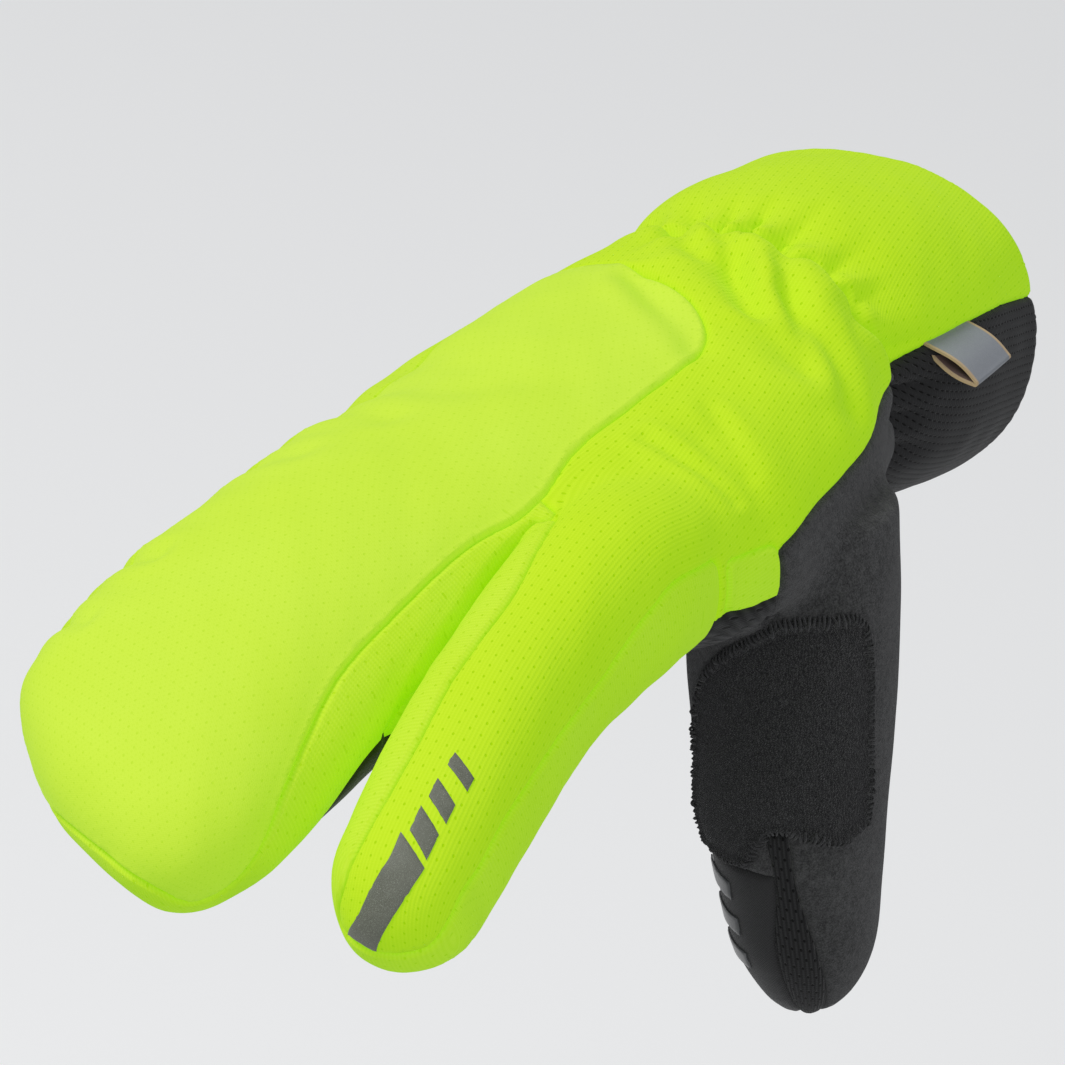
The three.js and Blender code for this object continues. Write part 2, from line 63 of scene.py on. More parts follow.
LABEL_AT = 0.31
LABEL_DROOP = 0.47
LABEL_WIDTH = 17.5
LABEL_LENGTH = 13
LABEL_THICK = 0.6
LABEL_APART = 0.9
LABEL_FOLD = 1.6
LABEL_TURN_IN = 3.2
LABEL_SUNK = 1.8
LABEL_PUFF = 1.25
LABEL_BOW = 0.25

# at, side, half, back, palm
CUFF_ROWS = [
    (0.0, -0.054, 0.37, 0.38, 0.46), (0.22, -0.045, 0.46, 0.46, 0.47), (0.55, -0.02, 0.49, 0.50, 0.49),
    (1.0, 0.0, 0.5, 0.5, 0.5),
]
# at, side, lift, half, back, palm, bend, skew
HAND_ROWS = [
    (0.0, -0.045, 0.0, 0.305, 0.50, 0.60, 0, 0), (0.06, -0.03, 0.0, 0.38, 0.57, 0.60, 0, 0),
    (0.15, -0.03, 0.0, 0.45, 0.58, 0.58, 0, 0), (0.26, -0.03, 0.0, 0.485, 0.55, 0.53, 0, 0),
    (0.37, -0.04, 0.0, 0.485, 0.51, 0.47, 2, 0), (0.47, -0.11, 0.0, 0.43, 0.48, 0.42, 4, 0),
    (0.56, -0.18, 0.01, 0.365, 0.46, 0.37, 5, 0), (0.67, -0.2, 0.0, 0.35, 0.42, 0.34, 8, 4),
    (0.78, -0.22, -0.05, 0.362, 0.39, 0.325, 12, 10), (0.9, -0.22, -0.14, 0.37, 0.35, 0.31, 20, 18),
    (1.0, -0.155, -0.26, 0.325, 0.29, 0.28, 28, 24),
]
# at, side, drop, half, back, palm, bend
INDEX_ROWS = [
    (0.0, 0.0, 0.0, 0.5, 0.5, 0.5, 0), (0.25, 0.005, -0.02, 0.525, 0.62, 0.54, 0),
    (0.5, 0.02, 0.0, 0.48, 0.54, 0.5, 6), (0.75, 0.058, 0.06, 0.47, 0.5, 0.48, 14),
    (1.0, 0.095, 0.16, 0.425, 0.42, 0.42, 22),
]
# at, out, fore, half, back, palm
THUMB_ROWS = [
    (0.0, 0.0, 0.0, 0.5, 0.5, 0.5), (0.3, 0.045, 0.07, 0.505, 0.54, 0.54),
    (0.55, 0.088, 0.13, 0.455, 0.51, 0.51), (0.8, 0.138, 0.17, 0.36, 0.45, 0.45),
    (1.0, 0.165, 0.19, 0.31, 0.38, 0.38),
]
INDEX_ROOT = (0.25, 0.33, 0.02)
THUMB_ROOT = (0.305, 0.2, -0.02)

# Where the sewn pieces end: at, low, high, in degrees from the thumb side over the back
BACK_PANEL = [
    (0.13, 112, 138), (0.15, 96, 141), (0.175, 82, 142), (0.22, 72, 141), (0.33, 73, 138),
    (0.41, 70, 140), (0.49, 56, 142), (0.53, 49, 144), (0.6, 45, 145), (0.68, 42, 146), (0.76, 37, 146),
    (0.84, 20, 150), (0.88, 5, 153), (0.91, -9, 156), (0.95, -18, 159), (1.06, -24, 162),
]
POUCH_GUSSET = [
    (0.13, 128, 200), (0.16, 105, 200), (0.42, 105, 200), (0.5, 44, 200), (0.56, -14, 200),
    (0.7, -14, 200), (0.82, -50, 200), (1.06, -50, 200),
]
PALM = [
    (0.0, 200, 346), (0.62, 200, 348), (0.7, 200, 358), (0.74, 200, 358), (0.78, 200, 350),
    (0.82, 200, 334), (0.87, 200, 322), (TIP_START, 200, 315),
]
CUFF_UNDERSIDE = [(0.0, 160, 374), (0.25, 161, 379), (0.5, 161, 380), (1.2, 162, 378)]
THUMB_FOOT = [(0.0, -70, 14), (0.08, -70, 17), (0.15, -72, 14), (0.27, -74, 14), (0.34, -74, 10)]
WEB_KNIT = [(0.335, -54, -12), (0.42, -50, -12)]
WEB_ROOT = [(0.02, 99, 150), (0.14, 99, 150)]
WEB_GUSSET = [(0.34, -5, 13), (0.362, -12, 14.5), (0.404, -12, 16)]
INDEX_BACK = [
    (0.1, 20, 124), (0.2, 22, 122), (0.28, 25, 120), (0.36, 20, 113), (0.48, 12, 104), (0.6, 15, 106),
    (0.67, 17, 108), (0.8, 24, 110), (0.87, 24, 114), (0.91, 26, 118), (0.943, 17, 128),
    (0.985, 0, 150), (1.06, 0, 160),
]
INDEX_FLANK = [(0.15, -40, 27), (0.32, -40, 27)]
INDEX_GUSSET = [(0.3, -40, 204), (1.06, -40, 204)]
INDEX_UNDERSIDE = [(0.26, 204, 320), (TIP_START, 204, 320)]
THUMB_GUSSET = [(0.55, 95, 111), (0.667, 92, 107), (0.8, 79, 114), (1.06, 50, 100)]
THUMB_PAD = [(0.64, 100, 236), (0.8, 105, 236), (1.06, 90, 236)]
THUMB_PATCH = [
    (0.145, 60, 100), (0.17, 52, 112), (0.24, 48, 135), (0.32, 46, 150), (0.47, 43, 160),
    (0.56, 44, 166), (0.7, 46, 168),
]
# Where the patch ends along the thumb: angle, share
PATCH_END = [
    (30, 0.545), (46, 0.55), (60, 0.572), (85, 0.556), (104, 0.548), (114, 0.578), (124, 0.622),
    (180, 0.634),
]
# from, to, low, high, slant at the start and at the end
BARS = [
    (0.763, 0.784, 59, 78, 0.022, 0.022), (0.806, 0.834, 62, 80, 0.025, 0.025),
    (0.849, 0.884, 63, 82, 0.027, 0.027),
]
# The last bar runs over the tip: along, and where its sides are across from the stall's middle, in mm
LAST_BAR = [
    (124.0, 0.7, 7.7), (129.3, 0.6, 7.1), (133.6, -0.6, 6.1), (138.2, -1.8, 4.9), (144.7, -3.7, 2.9),
    (150.4, -6.9, 1.1), (156.0, -8.5, -0.4),
]
LAST_BAR_START = 124.0
LAST_BAR_END = 154.2
BACK_PANEL_END = 236.3
# Where the padding lies flat at the pouch's end: the way out of each flat, how far out it is, how soft
POUCH_FLATS = [
    ((-0.323, -0.67, -0.669), 189.8, 1.6), ((-0.839, -0.545, 0.0), 177.3, 1.2),
    ((-0.834, -0.185, 0.52), 93.4, 1.4),
]
GRIPS = [
    (0.68, 0.715, 144, 178, 0.0, 0.0), (0.75, 0.785, 142, 177, 0.0, 0.0),
    (0.82, 0.855, 140, 176, 0.0, 0.0),
]
# Valleys in the padded cloth: at, angle, to at, to angle, wide, deep
FOLDS = [
    (0.085, 86, 0.18, 54, 0.075, 0.05), (0.08, 100, 0.14, 74, 0.06, 0.03),
    (0.09, 64, 0.155, 30, 0.07, 0.04), (0.333, 52, 0.345, 20, 0.08, 0.025),
    (0.406, 152, 0.393, 108, 0.1, 0.03), (0.339, 140, 0.359, 98, 0.1, 0.02),
]
# Sharper creases that only the look has, in the same columns
SMALL_FOLDS = [
    (0.052, 93, 0.14, 68, 0.05, 0.045), (0.06, 72, 0.175, 47, 0.055, 0.045),
    (0.155, 103, 0.235, 73, 0.05, 0.03), (0.03, 118, 0.09, 95, 0.045, 0.03),
    (0.372, 62, 0.365, 34, 0.03, 0.02), (0.3, 58, 0.33, 38, 0.035, 0.012),
    (0.44, 150, 0.46, 112, 0.06, 0.022), (0.56, 160, 0.545, 118, 0.06, 0.024),
    (0.739, 174, 0.73, 124, 0.055, 0.038), (0.842, 170, 0.83, 122, 0.05, 0.034),
]

# What only the look has
VOXEL = 1.15
WALL = 2.7
HAND_GIRTH = 0.42
RUFFLES = 22
RUFFLE_DEPTH = 4.2
ELASTIC_DEPTH = 2.2
SEAM_DEPTH = 0.75
SLIT_DEPTH = 3.2
SLIT_HALF = 1.7
HEM_REACH = 13
HEM_ROUND = 1.3
SNAP = 0.13
# The thread over the patch's edge, in mm
STITCH = {"Pitch": 1.05, "Thickness": 0.3, "Outside": 0.65, "Inside": 1.9, "Height": 2.0}
LEAN_LEAST, LEAN_MOST = (-0.2, 0, -0.4), (0.2, 0, 0.55)
SMALLEST, LARGEST = (0.8, 0.8, 0.8), (1.2, 1.2, 1.2)

Section = namedtuple("Section", "middle right up half back palm")
Place = namedtuple("Place", "along share reach half thick out angle depth back palm")


def spline(rows, wanted):
    """Smooth values of a table's columns after the first, at the wanted values of the first."""
    rows = np.asarray(rows, float)
    at = rows[:, 0]
    wanted = np.clip(wanted, at[0], at[-1])
    i = np.clip(np.searchsorted(at, wanted, "left") - 1, 0, len(at) - 2)
    before, left = rows[np.maximum(i - 1, 0)], rows[i]
    right, after = rows[i + 1], rows[np.minimum(i + 2, len(at) - 1)]
    span = right[:, :1] - left[:, :1]
    m0 = (right - before) / (right[:, :1] - before[:, :1]) * span
    m1 = (after - left) / (after[:, :1] - left[:, :1]) * span
    t = (np.asarray(wanted)[:, None] - left[:, :1]) / span
    near = 2 * t**3 - 3 * t**2 + 1
    value = near * left + (t - 2 * t**2 + t**3) * m0 + (1 - near) * right + (t**3 - t**2) * m1
    return value[:, 1:]


def placed(name, data):
    """A new object of the scene, at the origin."""
    thing = bpy.data.objects.new(name, data)
    bpy.context.scene.collection.objects.link(thing)
    return thing


def final_mesh(thing):
    """The mesh that an object's modifiers give."""
    return bpy.data.meshes.new_from_object(thing.evaluated_get(bpy.context.evaluated_depsgraph_get()))


def hill(away, wide):
    return np.exp(-((away / wide) ** 2))


def unit(vectors):
    return vectors / np.linalg.norm(vectors, axis=-1, keepdims=True)


def smooth_step(value):
    value = np.clip(value, 0, 1)
    return value * value * (3 - 2 * value)


def tilted(bend, skew):
    """The directions across and out of the back of sections bent down and skewed to the thumb's side."""
    b, k = np.radians(bend), np.radians(skew)
    right = np.stack([np.cos(k), -np.sin(k), np.zeros_like(k)], -1)
    up = np.stack([-np.sin(b) * np.sin(k), -np.sin(b) * np.cos(k), np.cos(b)], -1)
    return right, up


droop, swing = math.radians(CUFF_DROOP), math.radians(CUFF_SWING)
CUFF_LEVEL = np.array([-math.sin(swing), math.cos(swing), 0])
CUFF_AXIS = math.cos(droop) * CUFF_LEVEL - [0, 0, math.sin(droop)]
WRIST = -CUFF_LENGTH * CUFF_AXIS


def root_of(side, at, lift):
    return WRIST + [side * HAND_WIDTH, -at * HAND_REACH, lift * HAND_DEPTH]


def trunk_section(along):
    """Sections of the cuff, before 0, and of the hand and the pouch, after it."""
    along = np.asarray(along, float)
    back_in = np.maximum(-along, 0) / CUFF_LENGTH
    side, half, back, palm = spline(CUFF_ROWS, back_in).T
    lean = np.clip(1.5 * back_in, 0, 1)
    right, up = tilted(-CUFF_DROOP * lean, -CUFF_SWING * lean)
    middle = WRIST + back_in[:, None] * CUFF_LENGTH * CUFF_AXIS
    middle = middle + np.stack([side * MOUTH_WIDTH, 0 * side, 0 * side], -1)
    cuff = (middle, right, up, half * MOUTH_WIDTH, back * MOUTH_DEPTH, palm * MOUTH_DEPTH)
    share = np.maximum(along, 0) / HAND_REACH
    side, lift, half, back, palm, bend, skew = spline(HAND_ROWS, share).T
    right, up = tilted(bend, skew)
    middle = WRIST + np.stack([side * HAND_WIDTH, -share * HAND_REACH, lift * HAND_DEPTH], -1)
    hand = (middle, right, up, half * HAND_WIDTH, back * HAND_DEPTH, palm * HAND_DEPTH)
    on_cuff = along < 0
    pick = [np.where(on_cuff[:, None] if a.ndim > 1 else on_cuff, a, b) for a, b in zip(cuff, hand)]
    return Section(*pick)


def index_section(along):
    share = np.asarray(along, float) / INDEX_REACH
    side, drop, half, back, palm, bend = spline(INDEX_ROWS, share).T
    right, up = tilted(bend, -INDEX_SPLAY * share)
    middle = root_of(*INDEX_ROOT) + INDEX_REACH * np.stack([side, -share, -drop], -1)
    return Section(middle, right, up, half * INDEX_WIDTH, back * INDEX_DEPTH, palm * INDEX_DEPTH)


def thumb_section(along):
    share = np.asarray(along, float) / THUMB_REACH
    out, fore, half, back, palm = spline(THUMB_ROWS, share).T
    turn = math.radians(THUMB_TURN)
    right = np.tile([math.cos(turn), math.sin(turn), 0.0], (len(share), 1))
    up = np.tile([math.sin(turn), -math.cos(turn), 0.0], (len(share), 1))
    middle = root_of(*THUMB_ROOT) + THUMB_REACH * np.stack([out, -fore, -share], -1)
    return Section(middle, right, up, half * THUMB_WIDTH, back * THUMB_DEPTH, palm * THUMB_DEPTH)


def rounded(share):
    """0 at 0 and 1 from 1 on, round like a quarter of a circle between them."""
    return np.sqrt(np.maximum(0, 1 - np.maximum(0, 1 - share) ** 2))


def rounding(share, part):
    """1 along a branch and down to 0 over the last part of it."""
    return rounded((1 - share) / part)


Branch = namedtuple("Branch", "section reach across through start")
TRUNK = Branch(trunk_section, HAND_REACH, 0.14, 0.08, -74.0)
INDEX = Branch(index_section, INDEX_REACH, 0.11, 0.1, 0.02 * INDEX_REACH)
THUMB = Branch(thumb_section, THUMB_REACH, 0.22, 0.22, 0.0)


def branch_skin(branch, spacing=1.6):
    """Points of a branch's skin, ring by ring, and the faces of a closed tube through them."""
    part = max(branch.across, branch.through)
    body = np.arange(branch.start, branch.reach * (1 - part), spacing)
    tip = branch.reach * (1 - part * (1 - np.sin(np.linspace(0, math.radians(87), 22))))
    along = np.concatenate([body, tip])
    ring = branch.section(along)
    share = along / branch.reach
    count = 200
    angle = np.linspace(0, 2 * np.pi, count, endpoint=False)
    c, s = np.cos(angle), np.sin(angle)
    power = 2 / ROUNDNESS
    half = (ring.half * rounding(share, branch.across))[:, None]
    thick = np.where(s > 0, ring.back[:, None], ring.palm[:, None])
    thick = thick * rounding(share, branch.through)[:, None]
    across = np.sign(c) * np.abs(c) ** power * half
    above = np.sign(s) * np.abs(s) ** power * thick
    points = ring.middle[:, None] + across[..., None] * ring.right[:, None]
    points = points + above[..., None] * ring.up[:, None]
    rings = len(along)
    points = np.concatenate([points.reshape(-1, 3), points[0].mean(0)[None], points[-1].mean(0)[None]])
    j = np.arange(count)
    k = (j + 1) % count
    i = np.arange(rings - 1)[:, None] * count
    sides = np.stack([i + j, i + k, i + count + k, i + count + j], -1).reshape(-1, 4)
    first, last, end = rings * count, rings * count + 1, (rings - 1) * count
    caps = [(first, b, a) for a, b in zip(j, k)] + [(last, end + a, end + b) for a, b in zip(j, k)]
    return points, [tuple(f) for f in sides.tolist()] + [tuple(map(int, f)) for f in caps]


def fused_skin():
    """One closed skin over the cuff, the hand, the index stall and the thumb."""
    points, faces = [], []
    for branch in (TRUNK, INDEX, THUMB):
        new_points, new_faces = branch_skin(branch)
        shift = sum(len(p) for p in points)
        points.append(new_points)
        faces += [tuple(v + shift for v in f) for f in new_faces]
    mesh = bpy.data.meshes.new("fused")
    mesh.from_pydata((np.concatenate(points) * MM).tolist(), [], faces)
    raw = placed("fused", mesh)
    fuse = raw.modifiers.new("fuse", "REMESH")
    fuse.mode = "VOXEL"
    fuse.voxel_size = VOXEL * MM
    fuse.adaptivity = 0
    made = final_mesh(raw)
    co = np.empty(3 * len(made.vertices))
    made.vertices.foreach_get("co", co)
    made.calc_loop_triangles()
    tri = np.empty(3 * len(made.loop_triangles), np.int32)
    made.loop_triangles.foreach_get("vertices", tri)
    bpy.data.objects.remove(raw)
    bpy.data.meshes.remove(mesh)
    bpy.data.meshes.remove(made)
    return co.reshape(-1, 3) / MM, tri.reshape(-1, 3).astype(np.int64)


def sides_of(faces):
    """The three sides of every face, each from corner to corner as the face goes round."""
    return np.concatenate([faces[:, [0, 1]], faces[:, [1, 2]], faces[:, [2, 0]]])


def eased(values, edges, weight, rounds):
    """Values moved towards the mean of their neighbours."""
    shape = np.shape(values)
    n = shape[0]
    values = np.array(values, float).reshape(n, -1)
    weight = np.broadcast_to(weight, n)[:, None]
    a, b = edges.T
    count = np.maximum(np.bincount(edges.ravel(), minlength=n), 1)[:, None]
    for _ in range(rounds):
        total = [np.bincount(a, column[b], n) + np.bincount(b, column[a], n) for column in values.T]
        values += weight * (np.stack(total, 1) / count - values)
    return values.reshape(shape)


def normals_of(points, faces):
    a, b, c = points[faces].transpose(1, 0, 2)
    face = np.cross(b - a, c - a)
    n = len(points)
    total = sum(np.stack([np.bincount(faces[:, i], face[:, k], n) for k in range(3)], 1) for i in range(3))
    return total / np.maximum(np.linalg.norm(total, axis=1, keepdims=True), 1e-9)


def place_on(branch, points, step=4.0):
    """Where points are on a branch: along it, in its section there, and how deep under its skin."""
    stops = np.arange(branch.start - 8, branch.reach + step, step)
    ring = branch.section(stops)
    normal = np.cross(ring.right, ring.up)
    ahead = points @ normal.T - np.einsum("ij,ij->i", ring.middle, normal)
    passed = ahead > 0
    k = len(stops) - 1 - np.argmax(passed[:, ::-1], axis=1)
    k = np.where(passed.any(1), np.clip(k, 0, len(stops) - 2), 0)
    row = np.arange(len(points))
    here, there = ahead[row, k], ahead[row, k + 1]
    t = np.clip(here / np.where(np.abs(here - there) < 1e-9, 1, here - there), -1, 2)
    along = np.clip(stops[k] + t * step, stops[0], branch.reach)
    ring = branch.section(along)
    offset = points - ring.middle
    across = np.einsum("ij,ij->i", offset, ring.right)
    above = np.einsum("ij,ij->i", offset, ring.up)
    thick = np.where(above > 0, ring.back, ring.palm)
    out = np.hypot(across / ring.half, above / thick)
    angle = np.degrees(np.arctan2(above / thick, across / ring.half))
    share = along / branch.reach
    wide = np.maximum(ring.half * rounding(share, branch.across), 1)
    tall = np.maximum(thick * rounding(share, branch.through), 1)
    spread = (np.abs(across / wide) ** ROUNDNESS + np.abs(above / tall) ** ROUNDNESS) ** (1 / ROUNDNESS)
    depth = np.hypot(across, above) * (1 - 1 / np.maximum(spread, 1e-3))
    return Place(along, share, branch.reach, ring.half, thick, out, angle, depth, ring.back, ring.palm)


def straightened(place, branch):
    """Where points are on the cloth that lies over a branch's round tip: across it and along it."""
    turn = np.radians(place.angle)
    across = place.out * np.cos(turn)
    full = np.sqrt(np.maximum(0, 1 - across**2))
    over = smooth_step((place.share - 1 + max(branch.across, branch.through)) / 0.04)
    drop = over * np.maximum(0, (full - place.out * np.sin(turn)) * place.thick)
    return place.half * across, place.along + drop


def near_angle(angle, low, high):
    middle = (low + high) / 2
    return (angle - middle + 180) % 360 - 180 + middle


def arc_scale(place, angle):
    """Millimetres of skin to a degree round a branch."""
    a = np.radians(angle)
    return np.hypot(place.half * np.sin(a), place.thick * np.cos(a)) * math.pi / 180


def band_sides(place, rows, out):
    """How far points are inside each side of the part of a branch that a table of angles bounds."""
    low, high = spline(rows, place.share).T
    angle = near_angle(place.angle, low, high)
    scale = arc_scale(place, angle)
    return [
        (place.share - rows[0][0]) * place.reach,
        (rows[-1][0] - place.share) * place.reach,
        (angle - low) * scale,
        (high - angle) * scale,
        (out - place.out) * place.half,
    ]


def band(*limits):
    return np.minimum.reduce(band_sides(*limits))


def whole(place, start):
    """How far points are inside all of a branch from a share of its length on."""
    return np.minimum((place.share - start) * place.reach, (1.25 - place.out) * place.half)


def slanted(place, row):
    """How far points are inside each side of a slanted four-sided field of a branch."""
    start, end, low, high, slant, end_slant = row
    late = (high - place.angle) / (high - low)
    scale = arc_scale(place, place.angle)
    return [
        (place.share - start - slant * late) * place.reach,
        (end + end_slant * late - place.share) * place.reach,
        (place.angle - low) * scale,
        (high - place.angle) * scale,
        (1.4 - place.out) * place.half,
    ]


def patch_sides(place):
    """How far points are inside each side of the wiping patch."""
    sides = band_sides(place, THUMB_PATCH, 1.3)
    end = spline(PATCH_END, place.angle)[:, 0]
    return [sides[0], (end - place.share) * THUMB_REACH, *sides[2:]]


def last_bar(place):
    """How far points are inside each side of the bar that runs over the index stall's tip."""
    across, along = straightened(place, INDEX)
    left, right = spline(LAST_BAR, along).T
    return [
        along - LAST_BAR_START - 0.68 * across,
        LAST_BAR_END + 0.6 * across - along,
        across - left,
        right - across,
        (1.4 - place.out) * place.half,
        3 + place.thick * place.out * np.sin(np.radians(place.angle)),
    ]


def zone_fields(points):
    """The sewn pieces in the order that they are cut in, each with how far the points are inside it."""
    trunk, index, thumb = (place_on(branch, points) for branch in (TRUNK, INDEX, THUMB))
    cuff = trunk._replace(share=-trunk.along / CUFF_LENGTH, reach=CUFF_LENGTH)
    tip_top = smooth_step((index.share - 0.955) / 0.02)
    height = index.thick * index.out * np.sin(np.radians(index.angle))
    index_back = (1 - tip_top) * band(index, INDEX_BACK, 1.3) + tip_top * height
    index_flanks = np.maximum(band(index, INDEX_GUSSET, 1.12), band(index, INDEX_FLANK, 1.12))
    index_rest = np.maximum(index_flanks, whole(index, TIP_START))
    back_end = BACK_PANEL_END - straightened(trunk, TRUNK)[1]
    return {
        "cuff_underside": band(cuff, CUFF_UNDERSIDE, 1.5),
        "thumb_gusset": band(thumb, THUMB_GUSSET, 1.3),
        "thumb_pad": band(thumb, THUMB_PAD, 1.3),
        "web_gusset": band(trunk, WEB_GUSSET, 1.6),
        "web_knit": np.maximum(band(trunk, WEB_KNIT, 1.3), band(thumb, WEB_ROOT, 1.3)),
        "thumb_fleece": np.maximum(band(trunk, THUMB_FOOT, 1.3), whole(thumb, THUMB_START)),
        "index_gusset": np.minimum(index_rest, -index_back),
        "back_panel": np.minimum(band(trunk, BACK_PANEL, 1.15), back_end),
        "palm_panel": np.maximum(band(trunk, PALM, 1.25), band(index, INDEX_UNDERSIDE, 1.15)),
        "pouch_gusset": np.maximum(band(trunk, POUCH_GUSSET, 1.1), whole(trunk, TIP_START)),
    }


def split(points, faces, extras, value, chosen=None):
    """Faces cut along the line where a value is zero, and the face that each came from."""
    value = np.where(np.abs(value) < SNAP, 0.0, value)
    sign = np.sign(value)
    of_face = sign[faces]
    crossing = (of_face.min(1) < 0) & (of_face.max(1) > 0)
    if chosen is not None:
        crossing &= chosen
    work = faces[crossing]
    a, b = work, work[:, [1, 2, 0]]
    cut = sign[a] * sign[b] < 0
    pairs = np.sort(np.stack([a[cut], b[cut]], 1), 1)
    unique, inverse = np.unique(pairs, axis=0, return_inverse=True)
    inverse = inverse.reshape(-1)
    p, q = unique.T
    t = (value[p] / (value[p] - value[q]))[:, None]
    points = np.concatenate([points, points[p] + t * (points[q] - points[p])])
    start = len(extras)
    extras = np.concatenate([extras, extras[p] + t * (extras[q] - extras[p])])
    middle = np.full(work.shape, -1)
    middle[cut] = start + inverse
    source = np.flatnonzero(crossing)
    made, origin = [faces[~crossing]], [np.flatnonzero(~crossing)]
    cuts = cut.sum(1)
    six = np.concatenate([work, middle], 1)
    for x, y, z in ((0, 1, 2), (1, 2, 0), (2, 0, 1)):
        alone = (cuts == 2) & ~cut[:, y]
        single = (cuts == 1) & cut[:, x]
        shapes = [(alone, (x, x + 3, z + 3)), (alone, (x + 3, y, z)), (alone, (x + 3, z, z + 3))]
        for those, corners in (*shapes, (single, (x, x + 3, z)), (single, (x + 3, y, z))):
            made.append(six[those][:, corners])
            origin.append(source[those])
    value = np.concatenate([value, np.zeros(len(points) - len(value))])
    return points, np.concatenate(made), extras, value, np.concatenate(origin)


def groups(faces, label):
    """A number for each connected group of faces with the same label."""
    pairs = np.sort(sides_of(faces), 1)
    owner = np.tile(np.arange(len(faces)), 3)
    order = np.lexsort((pairs[:, 1], pairs[:, 0]))
    pairs, owner = pairs[order], owner[order]
    same = (pairs[1:] == pairs[:-1]).all(1)
    f, g = owner[:-1][same], owner[1:][same]
    keep = label[f] == label[g]
    f, g = f[keep], g[keep]
    group = np.arange(len(faces))
    while True:
        low = np.minimum(group[f], group[g])
        new = group.copy()
        for face in (f, g, group[f], group[g]):
            np.minimum.at(new, face, low)
        new = new[new]
        if (new == group).all():
            return group
        group = new


def sewn_pieces():
    """The skin cut into the sewn pieces: its points, how far each is from the mouth, the ways out of
    the skin, and its faces with their pieces."""
    points, faces = fused_skin()
    edges = np.unique(np.sort(sides_of(faces), 1), axis=0)
    points = eased(points, edges, 0.5, 6)
    trunk, index, thumb = (place_on(branch, points).depth for branch in (TRUNK, INDEX, THUMB))
    depths = np.sort(np.stack([trunk, index, thumb]), axis=0)
    crease = 1 - smooth_step((np.abs(depths[1] - depths[0]) - 1) / 6)
    points = eased(points, edges, 0.5 * eased(crease, edges, 0.5, 8), 26)
    points = eased(points, edges, 0.4, 3)
    fields = zone_fields(points)
    names = list(fields)
    extras = np.stack([eased(v, edges, 0.5, 3) for v in fields.values()], 1)
    mouth = place_on(TRUNK, points).along + CUFF_LENGTH
    normals = eased(normals_of(points, faces), edges, 0.5, 4)
    extras = np.concatenate([extras, mouth[:, None], normals], 1)
    column = len(names)
    points, faces, extras, value, _ = split(points, faces, extras, mouth)
    extras[value == 0, column] = 0
    faces = faces[value[faces].sum(1) > 0]
    label = np.full(len(faces), len(names))
    for i, name in enumerate(names):
        free = label == len(names)
        points, faces, extras, value, origin = split(points, faces, extras, extras[:, i], free)
        label = label[origin]
        label[(label == len(names)) & (value[faces].sum(1) > 0)] = i
    names.append("knit_panel")
    group = groups(faces, label)
    size = np.linalg.norm(np.cross(*(points[faces[:, i]] - points[faces[:, 0]] for i in (1, 2))), axis=1) / 2
    area = np.bincount(group, size, len(faces))
    largest = [max((area[g], g) for g in np.unique(group[label == i]))[1] for i in np.unique(label)]
    main = np.isin(group, largest)
    middle = points[faces].mean(1)
    tree = tree_of(middle[main])
    main_label = label[main]
    for g in np.unique(group[~main]):
        stray = np.flatnonzero(group == g)
        found = [main_label[tree.find(middle[i])[1]] for i in stray[:: max(1, len(stray) // 40)]]
        label[stray] = np.bincount(found).argmax()
    return points, extras[:, column], extras[:, column + 1 :], faces, label, names


def lumps(points, waves):
    """A gentle swell of the padding, from -1 to 1, by waves of given lengths, directions and phases."""
    total = np.zeros(len(points))
    for length, x, y, z, phase in waves:
        total += np.sin(points @ unit(np.array([x, y, z])) * (2 * math.pi / length) + phase)
    return total / len(waves)


SWELL = [
    (44, 1.0, 0.4, 0.3, 0.3), (37, -0.4, 1.0, 0.5, 1.9), (29, 0.8, -0.9, 0.4, 4.1),
    (52, 0.1, 0.7, -1.0, 2.6), (23, -1.0, -0.5, 0.8, 5.2), (61, 0.6, 0.2, 1.0, 0.9),
]
CREASES = [
    (15, 0.9, 0.5, 0.2, 0.0), (11, -0.6, 1.0, 0.3, 2.2), (13, 0.3, -0.8, 0.9, 4.4),
    (9, 1.0, 0.9, -0.5, 1.1),
]


